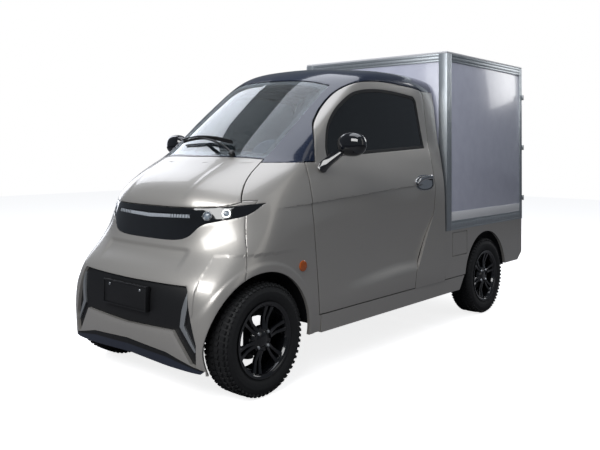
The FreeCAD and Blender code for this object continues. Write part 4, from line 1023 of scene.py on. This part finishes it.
# Amber reflector moulding, clear orange acrylic
amber = grained("amber_acrylic", "#b5541a", "#d06a24", 3, Roughness=0.15, Transmission_Weight=0.15,
                Coat_Weight=0.8, Coat_Roughness=0.03)
cup = skin_patch(oval((1516, 1000), 102, 44), "side", 2.5, 6, -5)
cup_rim = skin_patch(oval((1512, 1004), 110, 50), "side", 1.2, 5)
grip_line = []
for y, z, lift in ((1412, 1000, 0.006), (1440, 1022, 0.020), (1500, 1034, 0.026), (1570, 1036, 0.024),
                   (1608, 1026, 0.008)):
    place, out, across, rise = skin_place((y, z), "side")
    grip_line.append(place + out * lift)
grip = swept(bent(grip_line), 0.006, 0.013)
place, out, across, rise = skin_place((279, 610), "side")
marker_part = turned([(0, -0.004), (0.029, -0.004), (0.029, 0.006), (0.026, 0.009), (0.014, 0.0105),
                      (0, 0.011)], place - out * 0.006, out)
for side in ("left", "right"):
    turn_over = (lambda part: part) if side == "left" else flipped
    body = "cab_door_" + side
    solid(f"handle_cup_{side}", turn_over(cup), body, gloss_shell)
    solid(f"handle_surround_{side}", turn_over(cup_rim), body, chrome)
    solid(f"handle_grip_{side}", turn_over(grip), body, chrome)
    solid(f"side_marker_{side}", turn_over(marker_part), "chassis", amber)

# ================================================================ wheels
# Tubeless tyres with a blocky tread on black alloy rims: a deep barrel and six pairs of spokes,
# held by four plated nuts round a black cap.

tyre_low, tyre_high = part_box("tyre_front_left")
tyre_outer = (tyre_high.z - tyre_low.z) / 2
rim_low, rim_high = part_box("rim_front_left")
rim_outer = (rim_high.z - rim_low.z) / 2
rim_half = (rim_high.x - rim_low.x) / 2

# Carbon-black tyre rubber, matt, with a dusty bloom and a 2 mm moulded texture
tyre_rubber = grained("carbon_black_rubber", "#0f1012", "#191a1c", 6, 0.12, Roughness=0.72)
# Gloss black enamel on cast aluminium
rim_enamel = grained("gloss_black_enamel_on_alloy", "#0b0c0f", "#121317", 20, 0.01, Roughness=0.16,
                     Metallic=0.25, Coat_Weight=0.8, Coat_Roughness=0.04)

tread_tree = bpy.data.node_groups.new("tread_blocks", "GeometryNodeTree")
for socket_name, kind, start in (("Count", "NodeSocketInt", 60), ("Radius", "NodeSocketFloat", 0.27),
                                 ("Across", "NodeSocketFloat", 0.0), ("Length", "NodeSocketFloat", 0.02),
                                 ("Width", "NodeSocketFloat", 0.03), ("Depth", "NodeSocketFloat", 0.008),
                                 ("Skew", "NodeSocketFloat", 0.0), ("Lean", "NodeSocketFloat", 0.0),
                                 ("Rubber", "NodeSocketMaterial", None)):
    socket = tread_tree.interface.new_socket(socket_name, in_out="INPUT", socket_type=kind)
    if start is not None:
        socket.default_value = start
tread_tree.interface.new_socket("Geometry", in_out="INPUT", socket_type="NodeSocketGeometry")
tread_tree.interface.new_socket("Geometry", in_out="OUTPUT", socket_type="NodeSocketGeometry")
given = add_node(tread_tree, "NodeGroupInput").outputs
number = add_node(tread_tree, "GeometryNodeInputIndex")
share = add_node(tread_tree, "ShaderNodeMath", {"operation": "DIVIDE"},
                 {0: number.outputs[0], 1: given["Count"]})
angle = add_node(tread_tree, "ShaderNodeMath", {"operation": "MULTIPLY", 1: 2 * math.pi},
                 {0: share.outputs[0]})
cosine = add_node(tread_tree, "ShaderNodeMath", {"operation": "COSINE"}, {0: angle.outputs[0]})
sine = add_node(tread_tree, "ShaderNodeMath", {"operation": "SINE"}, {0: angle.outputs[0]})
y_place = add_node(tread_tree, "ShaderNodeMath", {"operation": "MULTIPLY"},
                   {0: cosine.outputs[0], 1: given["Radius"]})
z_place = add_node(tread_tree, "ShaderNodeMath", {"operation": "MULTIPLY"},
                   {0: sine.outputs[0], 1: given["Radius"]})
place_at = add_node(tread_tree, "ShaderNodeCombineXYZ",
                    links={"X": given["Across"], "Y": y_place.outputs[0], "Z": z_place.outputs[0]})
stands = add_node(tread_tree, "GeometryNodePoints", links={"Count": given["Count"],
                                                          "Position": place_at.outputs[0]})
block_size = add_node(tread_tree, "ShaderNodeCombineXYZ",
                      links={"X": given["Width"], "Y": given["Depth"], "Z": given["Length"]})
block = add_node(tread_tree, "GeometryNodeMeshCube", links={"Size": block_size.outputs[0]})
lean = add_node(tread_tree, "ShaderNodeCombineXYZ", links={"Y": given["Skew"], "Z": given["Lean"]})
leaning = add_node(tread_tree, "GeometryNodeTransform",
                   links={"Geometry": block.outputs["Mesh"], "Rotation": lean.outputs[0]})
about = add_node(tread_tree, "ShaderNodeCombineXYZ", links={"X": angle.outputs[0]})
spread = add_node(tread_tree, "GeometryNodeInstanceOnPoints",
                  links={"Points": stands.outputs[0], "Instance": leaning.outputs[0],
                         "Rotation": about.outputs[0]})
real = add_node(tread_tree, "GeometryNodeRealizeInstances", links={"Geometry": spread.outputs[0]})
rubbered = add_node(tread_tree, "GeometryNodeSetMaterial",
                    links={"Geometry": real.outputs[0], "Material": given["Rubber"]})
add_node(tread_tree, "NodeGroupOutput", links={"Geometry": rubbered.outputs[0]})


def tree_mesh(name, tree, values):
    """The plain mesh that a node tree makes from named inputs."""
    holder_mesh = bpy.data.meshes.new(name + "_start")
    maker = bpy.data.objects.new(name + "_maker", holder_mesh)
    scene.collection.objects.link(maker)
    modifier = maker.modifiers.new("made", "NODES")
    modifier.node_group = tree
    for item in tree.interface.items_tree:
        if item.item_type == "SOCKET" and item.in_out == "INPUT" and item.name in values:
            modifier[item.identifier] = values[item.name]
    graph = bpy.context.evaluated_depsgraph_get()
    made = bpy.data.meshes.new_from_object(maker.evaluated_get(graph))
    bpy.data.objects.remove(maker)
    return made


def mesh_part(mesh, move=Vector(), over=1):
    """Points and faces of a mesh, moved, and turned over to the other side if asked."""
    verts = [Vector((v.co.x * over, v.co.y, v.co.z)) + move for v in mesh.vertices]
    faces = [tuple(p.vertices) if over > 0 else tuple(reversed(p.vertices)) for p in mesh.polygons]
    return verts, faces


tread_rows = (("crown_left", 56, 0.001, -0.017, 0.020, 0.024, 0.30, 0.0),
              ("crown_right", 56, 0.001, 0.017, 0.020, 0.024, -0.30, 0.0),
              ("shoulder_left", 60, 0.0045, -0.050, 0.017, 0.030, 0.12, -0.18),
              ("shoulder_right", 60, 0.0045, 0.050, 0.017, 0.030, -0.12, 0.18),
              ("wall_left", 60, 0.0150, -0.0705, 0.013, 0.020, 0.05, -1.02),
              ("wall_right", 60, 0.0150, 0.0705, 0.013, 0.020, -0.05, 1.02))
block_deep = 0.010
tread_parts = []
for row, count, drop, across, length, width, skew, lean_angle in tread_rows:
    made = tree_mesh("tread_" + row, tread_tree,
                     {"Count": count, "Radius": tyre_outer - drop - block_deep / 2 - 0.001,
                      "Across": across, "Length": length, "Width": width, "Depth": block_deep,
                      "Skew": skew, "Lean": lean_angle, "Rubber": tyre_rubber})
    tread_parts.append(mesh_part(made))
carcass = [(rim_outer - 0.009, -0.066), (rim_outer + 0.004, -0.071), (rim_outer + 0.012, -0.0765),
           (rim_outer + 0.018, -0.0775), (rim_outer + 0.020, -0.0785), (0.222, -0.0808),
           (0.236, -0.0812), (0.238, -0.0800), (0.252, -0.0775), (0.262, -0.071), (0.268, -0.060),
           (0.2715, -0.036), (0.2728, -0.012)]
carcass = carcass + [(r, -x) for r, x in reversed(carcass)] + [(rim_outer - 0.013, 0.055),
                                                             (rim_outer - 0.013, -0.055)]
carcass.append(carcass[0])

barrel = rim_outer
lip = rim_half
rim_section = [(barrel - 0.001, lip), (barrel - 0.004, lip + 0.000), (barrel - 0.012, lip - 0.002),
               (barrel - 0.016, lip - 0.006), (barrel - 0.021, lip - 0.007), (barrel - 0.026, lip - 0.016),
               (barrel - 0.030, lip - 0.030), (barrel - 0.034, lip - 0.060), (barrel - 0.030, -lip + 0.01),
               (barrel - 0.016, -lip + 0.002), (barrel - 0.001, -lip), (barrel - 0.001, -lip + 0.004),
               (barrel - 0.010, -lip + 0.008), (barrel - 0.022, 0.0), (barrel - 0.012, lip - 0.010),
               (barrel - 0.001, lip - 0.006)]
rim_section.append(rim_section[0])


def tapered_spoke(angle, splay):
    """One spoke from the hub to the rim: a ridge that widens and comes forward at its ends."""
    radial = Vector((0, math.cos(angle), math.sin(angle)))
    tangent = Vector((0, -math.sin(angle), math.cos(angle)))
    line, wide, high = [], [], []
    for t in (0, 0.2, 0.5, 0.8, 1.0):
        radius = 0.050 + (barrel - 0.024 - 0.050) * t
        forward = lip - 0.026 - 0.012 * math.sin(math.pi * min(t * 1.05, 1)) + 0.006 * t
        line.append(radial * radius + tangent * splay * (0.35 + 0.65 * t) + Vector((forward, 0, 0)))
        wide.append(0.0125 - 0.004 * math.sin(math.pi * t))
        high.append(0.012 - 0.003 * t)
    return swept(line, wide, high, (1, 0, 0))


wheel_parts = [turned(rim_section, Vector(), (1, 0, 0), 96)]
hub_front = lip - 0.024
wheel_parts.append(turned([(0.018, 0.026), (0.066, 0.026), (0.070, hub_front - 0.014),
                           (0.062, hub_front), (0.040, hub_front + 0.001), (0.034, hub_front + 0.006),
                           (0.030, hub_front + 0.008), (0, hub_front + 0.009)],
                          Vector(), (1, 0, 0), 48))
spoke_pairs = 6
for k in range(spoke_pairs):
    for splay in (-0.021, 0.021):
        wheel_parts.append(tapered_spoke(2 * math.pi * (k + 0.25) / spoke_pairs, splay))
nut_parts = []
for k in range(4):
    a = math.pi / 4 + math.pi / 2 * k
    seat_at = Vector((hub_front - 0.002, 0.048 * math.cos(a), 0.048 * math.sin(a)))
    nut_parts.append(turned([(0, 0), (0.011, 0), (0.0095, 0.012), (0.007, 0.015), (0, 0.0155)],
                            seat_at, (1, 0, 0), 6))

for corner in ("front", "rear"):
    for side, over in (("left", 1), ("right", -1)):
        body = f"wheel_{corner}_{side}"
        low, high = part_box(f"tyre_{corner}_{side}")
        centre = (low + high) / 2

        def put(part):
            verts, faces = part if over > 0 else flipped(part)
            return [Vector(v) + centre for v in verts], faces

        tyre = solid(f"tyre_and_tread_{corner}_{side}",
                     put(merged([turned(carcass, Vector(), (1, 0, 0), 120)] + tread_parts)),
                     body, tyre_rubber)
        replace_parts(tyre, f"tyre_{corner}_{side}")
        rim = solid(f"alloy_rim_{corner}_{side}", put(merged(wheel_parts)), body,
                    rim_enamel)
        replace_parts(rim, f"rim_{corner}_{side}")
        solid(f"wheel_nuts_{corner}_{side}", put(merged(nut_parts)), body, zinc)

# ================================================================ cargo box
# Aluminium extrusions with grooved faces, riveted at capped corners, hold white sandwich panels.
# Two leaves with locking bars and strap hinges close the back.

frame_low, frame_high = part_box("box_frame")
half_width = frame_high.x
post_wide, rear_post, rail_thick, bottom_tall, top_tall = 0.065, 0.045, 0.040, 0.065, 0.070
# Natural anodised aluminium, brushed along its length: grain 0.6 mm drawn as coarse as 3 mm
anodised = grained("anodised_aluminium", "#a9b0b5", "#b9bfc4", 3, 0.01, (1, 1, 0.08), Metallic=0.75,
                   Roughness=0.38)
# White gelcoat over a plywood core, faintly blue, with a very shallow ripple
gelcoat = grained("white_gelcoat_panel", "#c4c7d8", "#cccfdf", 90, 0.12, Roughness=0.28,
                  Coat_Weight=0.4, Coat_Roughness=0.08)
# White extruded PVC trim
white_trim = grained("white_pvc_trim", "#dcdde0", "#e4e5e8", 5, Roughness=0.4)


def grooved(width, deep, grooves, groove_wide=0.005, groove_deep=0.003):
    """A bar's section, (across, in), with grooves along its outer face."""
    outline = [(0, 0)]
    for middle in grooves:
        outline += [(middle - groove_wide / 2, 0), (middle - groove_wide / 2, groove_deep),
                    (middle + groove_wide / 2, groove_deep), (middle + groove_wide / 2, 0)]
    return outline + [(width, 0), (width, deep), (0, deep)]


def extruded(outline, origin, across, inward, length):
    """A straight bar from its section and its length as an edge."""
    origin, across, inward, length = map(Vector, (origin, across, inward, length))
    ring = [origin + across * a + inward * b for a, b in outline]
    count = len(ring)
    verts = ring + [p + length for p in ring]
    faces = [(k, (k + 1) % count, (k + 1) % count + count, k + count) for k in range(count)]
    faces += [tuple(reversed(range(count))), tuple(range(count, 2 * count))]
    if across.cross(inward).dot(length) < 0:
        faces = [tuple(reversed(f)) for f in faces]
    return verts, faces


bars = []
front, rear, low, high = frame_low.y, frame_high.y, frame_low.z, frame_high.z
cap_tall = 0.014
for sign in (1, -1):
    x = half_width * sign
    inward = (-sign, 0, 0)
    for start, wide, marks in ((front, post_wide, (0.014, 0.032, 0.050)),
                               (rear - rear_post, rear_post, (0.014, 0.031))):
        bars.append(extruded(grooved(wide, wide, marks), (x, start, low), (0, 1, 0), inward,
                             (0, 0, high - cap_tall - low)))
    side_length = (0, rear - rear_post - front - post_wide, 0)
    bars.append(extruded(grooved(bottom_tall, rail_thick, (0.012, 0.053)),
                         (x, front + post_wide, low), (0, 0, 1), inward, side_length))
    bars.append(extruded(grooved(top_tall - cap_tall, rail_thick, (0.014, 0.038)),
                         (x, front + post_wide, high - top_tall), (0, 0, 1), inward, side_length))
for start, inward in ((front, (0, 1, 0)), (rear, (0, -1, 0))):
    wide = post_wide if inward[1] > 0 else rear_post
    length = (2 * (half_width - wide), 0, 0)
    bars.append(extruded(grooved(bottom_tall, rail_thick, (0.012, 0.053)),
                         (-half_width + wide, start, low), (0, 0, 1), inward, length))
    bars.append(extruded(grooved(top_tall - cap_tall, rail_thick, (0.014, 0.038)),
                         (-half_width + wide, start, high - top_tall), (0, 0, 1), inward, length))
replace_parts(solid("box_extrusions", merged(bars), "chassis", anodised, 0.0008),
            "box_frame")
cap_parts = []
for sign in (1, -1):
    cap_parts.append(boxed((half_width * sign, front, high - cap_tall), (-0.045 * sign, 0, 0),
                           (0, rear - front, 0), (0, 0, cap_tall)))
for start, step in ((front, 0.045), (rear, -0.045)):
    cap_parts.append(boxed((-half_width + 0.045, start, high - cap_tall),
                           (2 * half_width - 0.09, 0, 0), (0, step, 0), (0, 0, cap_tall)))
solid("box_top_trim", merged(cap_parts), "chassis", white_trim, 0.004)

rivet_tree = bpy.data.node_groups.new("rivet_line", "GeometryNodeTree")
for socket_name, kind in (("Start", "NodeSocketVector"), ("Step", "NodeSocketVector"),
                          ("Count", "NodeSocketInt"), ("Turn", "NodeSocketVector"),
                          ("Radius", "NodeSocketFloat"), ("Metal", "NodeSocketMaterial"),
                          ("Geometry", "NodeSocketGeometry")):
    rivet_tree.interface.new_socket(socket_name, in_out="INPUT", socket_type=kind)
rivet_tree.interface.new_socket("Geometry", in_out="OUTPUT", socket_type="NodeSocketGeometry")
given = add_node(rivet_tree, "NodeGroupInput").outputs
line_of = add_node(rivet_tree, "GeometryNodeMeshLine",
                   links={"Count": given["Count"], "Start Location": given["Start"],
                          "Offset": given["Step"]})
head = add_node(rivet_tree, "GeometryNodeMeshCone",
                {"Vertices": 12, "Radius Top": 0.0022, "Depth": 0.0016},
                {"Radius Bottom": given["Radius"]})
rivets = add_node(rivet_tree, "GeometryNodeInstanceOnPoints",
                  links={"Points": line_of.outputs["Mesh"], "Instance": head.outputs["Mesh"],
                         "Rotation": given["Turn"]})
real = add_node(rivet_tree, "GeometryNodeRealizeInstances", links={"Geometry": rivets.outputs[0]})
metal = add_node(rivet_tree, "GeometryNodeSetMaterial",
                 links={"Geometry": real.outputs[0], "Material": given["Metal"]})
add_node(rivet_tree, "NodeGroupOutput", links={"Geometry": metal.outputs[0]})

# Aluminium blind rivets, bright with a dull collar
rivet_metal = grained("aluminium_rivet", "#9ea3a7", "#b4b8bb", 2, Metallic=0.9, Roughness=0.35)
rivet_radius = 0.0045
rivet_parts = []
for sign in (1, -1):
    for z in (low + 0.0325, high - top_tall + 0.026):
        start = Vector((sign * (half_width - 0.0003), front + 0.09, z))
        made = tree_mesh("rivets", rivet_tree, {
            "Start": start, "Step": (0, 0.118, 0), "Count": 10, "Radius": rivet_radius,
            "Turn": (0, sign * math.pi / 2, 0), "Metal": rivet_metal})
        rivet_parts.append(mesh_part(made))
solid("box_rivets", merged(rivet_parts), "chassis", rivet_metal)

panel_low, panel_high = low + bottom_tall, high - top_tall
wall = 0.026
walls = []
for sign in (1, -1):
    walls.append(boxed(((half_width - 0.004) * sign, front + post_wide, panel_low),
                       (-wall * sign, 0, 0), (0, rear - rear_post - front - post_wide, 0),
                       (0, 0, panel_high - panel_low)))
walls.append(boxed((-half_width + post_wide, front + 0.004, panel_low), (2 * (half_width - post_wide), 0, 0),
                   (0, wall, 0), (0, 0, panel_high - panel_low)))
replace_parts(solid("box_walls", merged(walls), "chassis", gelcoat, 0.0015), "box_panels")
roof_low, roof_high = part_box("box_roof")
roof_part = boxed(roof_low, (roof_high.x - roof_low.x, 0, 0), (0, roof_high.y - roof_low.y, 0),
                  (0, 0, roof_high.z - roof_low.z))
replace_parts(solid("box_roof_panel", roof_part, "chassis", gelcoat, 0.002), "box_roof")
# a kick strip along the foot of each wall
strips = [boxed(((half_width - 0.004) * sign, front + post_wide + 0.001, panel_low + 0.0005),
                (0.0016 * sign, 0, 0), (0, rear - rear_post - front - post_wide - 0.002, 0),
                (0, 0, 0.062)) for sign in (1, -1)]
solid("box_kick_strips", merged(strips), "chassis", white_trim, 0.0006)

# Phenolic-faced birch plywood, brown with a fine wire-mesh print
plywood = grained("phenolic_birch_plywood", "#3a2a1d", "#4a3626", 9, 0.15, (1, 0.2, 1), Roughness=0.6)
# Galvanised steel with its spangle, about 12 mm across
galvanised = grained("galvanised_steel", "#a3a8ac", "#bcc1c4", 12, Metallic=0.85, Roughness=0.4)
for side, sign in (("left", 1), ("right", -1)):
    body = "box_door_" + side
    leaf_outer = half_width - rear_post - 0.006
    leaf_low, leaf_high = low + bottom_tall + 0.006, high - top_tall - 0.006
    leaf = [boxed((0.004 * sign, rear - 0.032, leaf_low), ((leaf_outer - 0.004) * sign, 0, 0),
                  (0, 0.0315, 0), (0, 0, leaf_high - leaf_low))]
    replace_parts(solid(f"box_leaf_{side}", merged(leaf), body, gelcoat, 0.003), body)
    edge = 0.022
    span = leaf_outer - 0.004
    frame_parts = []
    for corner, u, w in (((0.004, leaf_low), span, edge), ((0.004, leaf_high - edge), span, edge),
                         ((0.004, leaf_low + edge), edge, leaf_high - leaf_low - 2 * edge),
                         ((leaf_outer - edge, leaf_low + edge), edge, leaf_high - leaf_low - 2 * edge)):
        frame_parts.append(boxed((corner[0] * sign, rear - 0.0005, corner[1]), (u * sign, 0, 0),
                                 (0, 0.003, 0), (0, 0, w)))
    solid(f"box_leaf_edging_{side}", merged(frame_parts), body, anodised, 0.0006)
    hardware = [turned([(0, 0), (0.011, 0), (0.011, high - low - 0.12), (0, high - low - 0.12)],
                       Vector((0.070 * sign, rear + 0.019, low + 0.06)), (0, 0, 1), 24)]
    for base in (low + 0.150, low + 0.560, low + 0.970):
        hardware.append(boxed((0.050 * sign, rear, base), (0.040 * sign, 0, 0), (0, 0.031, 0),
                              (0, 0, 0.040)))
        hardware.append(boxed(((half_width - 0.190) * sign, rear + 0.0003, base), (0.186 * sign, 0, 0),
                              (0, 0.0062, 0), (0, 0, 0.040)))
        hardware.append(turned([(0, 0), (0.008, 0), (0.008, 0.04), (0, 0.04)],
                               Vector(((half_width + 0.0035) * sign, rear + 0.0083, base)),
                               (0, 0, 1), 20))
        for step in (0.03, 0.085, 0.15):
            hardware.append(turned([(0, 0), (0.0065, 0), (0.005, 0.003), (0, 0.0036)],
                                   Vector(((half_width - 0.19 + step) * sign, rear + 0.0065,
                                           base + 0.020)), (0, 1, 0), 14))
    hardware.append(boxed((0.058 * sign, rear + 0.022, low + 0.42), (0.024 * sign, 0, 0),
                          (0, 0.009, 0), (0, 0, 0.16)))
    solid(f"box_leaf_hardware_{side}", merged(hardware), body, galvanised, 0.0008)

# ================================================================ seats
# Two seats, each a foam cushion and back in dark woven cloth, pulled in at the seams.

# Woven polyester in charcoal; its 1.2 mm thread is drawn at 2.5 mm
seat_cloth = grained("woven_polyester", "#26272b", "#3a3c42", 2.5, 0.5, Roughness=0.9,
                     Sheen_Weight=0.4, Sheen_Roughness=0.5)
seat_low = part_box("seats")[0]
seat_inner, seat_wide = 0.075, 0.430
pad_margin = 0.012


def pad_shape(name, outline, x0, x1):
    """A block with rounded edges from a side outline, ready to swell."""
    ring = [Vector((x0, y, z)) for y, z in outline]
    count = len(ring)
    verts = ring + [Vector((x1, p.y, p.z)) for p in ring]
    faces = [(k, (k + 1) % count, (k + 1) % count + count, k + count) for k in range(count)]
    faces += [tuple(reversed(range(count))), tuple(range(count, 2 * count))]
    mesh = bpy.data.meshes.new(name)
    mesh.from_pydata([tuple(v) for v in verts], [], faces)
    shaper = bmesh.new()
    shaper.from_mesh(mesh)
    bmesh.ops.recalc_face_normals(shaper, faces=shaper.faces)
    bmesh.ops.bevel(shaper, geom=shaper.edges[:], offset=0.024, segments=3, affect="EDGES",
                    profile=0.6, clamp_overlap=True)
    bmesh.ops.triangulate(shaper, faces=shaper.faces)
    shaper.to_mesh(mesh)
    shaper.free()
    piece = bpy.data.objects.new(name, mesh)
    scene.collection.objects.link(piece)
    return piece


def swell(piece, most):
    """The cover drawn tight over its foam: a cloth simulation under pressure, then applied."""
    remesh = piece.modifiers.new("even", "REMESH")
    remesh.mode = "VOXEL"
    remesh.voxel_size = 0.009
    graph = bpy.context.evaluated_depsgraph_get()
    even = bpy.data.meshes.new_from_object(piece.evaluated_get(graph))
    piece.modifiers.clear()
    piece.data = even
    start = np.array([v.co[:] for v in even.vertices])
    cloth = piece.modifiers.new("cover", "CLOTH")
    cloth.settings.use_pressure = True
    cloth.settings.uniform_pressure_force = 4
    cloth.settings.effector_weights.gravity = 0
    cloth.settings.quality = 5
    scene.frame_start, scene.frame_end = 1, 20
    cloth.point_cache.frame_start, cloth.point_cache.frame_end = 1, 20
    for frame_number in range(1, 21):
        scene.frame_set(frame_number)
    graph = bpy.context.evaluated_depsgraph_get()
    swollen = bpy.data.meshes.new_from_object(piece.evaluated_get(graph))
    piece.modifiers.clear()
    end = np.array([v.co[:] for v in swollen.vertices])
    move = end - start
    length = np.maximum(np.linalg.norm(move, axis=1), 1e-9)[:, None]
    end = start + move / length * np.minimum(length, most)
    swollen.vertices.foreach_set("co", end.ravel())
    piece.data = swollen


seat_start, base = seat_low.y, seat_low.z
cushion_side = [(seat_start + pad_margin, base + 0.004), (seat_start + pad_margin, base + 0.108),
                (seat_start + 0.040, base + 0.124), (seat_start + 0.395, base + 0.106),
                (seat_start + 0.455, base + 0.050), (seat_start + 0.440, base + 0.004)]
back_side = [(seat_start + 0.425, base + 0.128), (seat_start + 0.515, base + 0.560),
             (seat_start + 0.545, base + 0.590), (seat_start + 0.600, base + 0.585),
             (seat_start + 0.604, base + 0.540), (seat_start + 0.553, base + 0.070),
             (seat_start + 0.470, base + 0.062)]
head_side = [(seat_start + 0.535, base + 0.610), (seat_start + 0.560, base + 0.740),
             (seat_start + 0.590, base + 0.750), (seat_start + 0.625, base + 0.745),
             (seat_start + 0.612, base + 0.605)]
first_pad = True
for part_name, outline, narrow in (("cushion", cushion_side, 0.0), ("back", back_side, 0.006),
                                   ("headrest", head_side, 0.085)):
    x0, x1 = seat_inner + pad_margin + narrow, seat_inner + seat_wide - pad_margin - narrow
    pad = pad_shape(f"seat_{part_name}_left", outline, x0, x1)
    swell(pad, 0.010)
    mesh = pad.data
    mesh.polygons.foreach_set("use_smooth", [True] * len(mesh.polygons))
    mesh.materials.clear()
    mesh.materials.append(seat_cloth)
    other_mesh = mesh.copy()
    other_mesh.transform(Matrix.Scale(-1, 4, (1, 0, 0)))
    other_mesh.flip_normals()
    other = bpy.data.objects.new(f"seat_{part_name}_right", other_mesh)
    scene.collection.objects.link(other)
    for piece in (pad, other):
        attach(piece, "chassis")
        if first_pad:
            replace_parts(piece, "seats")
            first_pad = False

# ================================================================ cabin fittings
# The dashboard is a soft-grained moulding with a hooded dial pack; the steering wheel is foamed
# round a steel core.

# Foamed polyurethane skin, leather grain about 2 mm
soft_skin = grained("foamed_polyurethane_skin", "#3b4450", "#46505c", 2, 0.2, Roughness=0.55)
wheel_skin = grained("foamed_wheel_rim", "#17181b", "#1f2124", 2, 0.15, Roughness=0.45)


def finish_node(node, finish):
    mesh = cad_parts[node].data
    mesh.materials.clear()
    mesh.materials.append(finish)


finish_node("dashboard", soft_skin)
finish_node("steering_column", lining)
finish_node("steering_wheel", wheel_skin)
hood_place = Vector((0.235, front_axle + 0.470, 1.150))
hood = []
for k in range(13):
    t = -1 + 2 * k / 12
    hood.append(hood_place + Vector((0.150 * t, 0, 0.068 * (1 - abs(t) ** 2.4))))
hood_part = swept(hood, 0.055, 0.006, (0, 1, 0))
solid("dial_hood", hood_part, "chassis", soft_skin)
# Smoked polycarbonate over the dials
dial_cover = grained("smoked_polycarbonate", "#10141a", "#161b22", 8, Roughness=0.08, Coat_Weight=0.8,
                     Coat_Roughness=0.03)
solid("dial_screen", boxed(hood_place + Vector((-0.110, 0.020, 0.0)), (0.220, 0, 0), (0, 0.012, 0.004),
                           (0, 0.006, 0.050)), "chassis", dial_cover, 0.002)

# ================================================================ sills, side panels and tail
# Painted lower panels under the doors and box, a charging flap with its lock, and lamps let into
# a painted tail plate.

for node in ("side_sills", "rear_skirts", "charge_flap", "tail_panel", "cab_rear_wall"):
    finish_node(node, body_paint)
# Red moulded acrylic with a fine prism texture of 3 mm
red_acrylic = grained("red_moulded_acrylic", "#6e0f12", "#8f161a", 3, 0.4, Roughness=0.12,
                      Coat_Weight=1.0, Coat_Roughness=0.03)
finish_node("tail_lamps", red_acrylic)
flap_low, flap_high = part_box("charge_flap")
lock_middle = Vector((flap_high.x - 0.0015, flap_high.y - 0.018, (flap_low.z + flap_high.z) / 2))
lock = turned([(0, -0.004), (0.009, -0.004), (0.009, 0.0008), (0.0075, 0.0014), (0, 0.0014)],
              lock_middle, (1, 0, 0), 24)
solid("flap_lock", lock, "charge_flap", zinc)

# ================================================================ frame, axles, floor and battery
# Welded steel under black paint, cast knuckles, a pressed battery case, moulded wheel liners and
# a ribbed rubber floor.

# Black chassis paint over welded steel, dusty
chassis_paint = grained("black_chassis_paint", "#121314", "#1d1e1f", 30, 0.1, Roughness=0.5)
# Cast iron as cast, sand-textured at about 1.5 mm
cast_iron = grained("sand_cast_iron", "#2a2a2b", "#3b3b3c", 1.5, 0.3, Metallic=0.6, Roughness=0.65)
# Powder-coated pressed steel battery case
battery_coat = grained("grey_powder_coat", "#3a3f43", "#454a4e", 1.5, 0.05, Roughness=0.5)
# Ribbed EPDM floor mat
floor_mat = grained("epdm_floor_mat", "#1b1c1e", "#242528", 4, 0.4, Roughness=0.8)
for node, finish in (("chassis_frame", chassis_paint), ("frame_cross_members", chassis_paint),
                     ("box_bearers", chassis_paint), ("front_axle", chassis_paint),
                     ("rear_axle", chassis_paint), ("rear_springs", chassis_paint),
                     ("knuckle_left", cast_iron), ("knuckle_right", cast_iron),
                     ("battery_pack", battery_coat), ("cab_floor", floor_mat),
                     ("wheel_liners", trim_plastic), ("door_frames", rubber),
                     ("box_floor", plywood), ("rear_window", tinted_glass)):
    finish_node(node, finish)
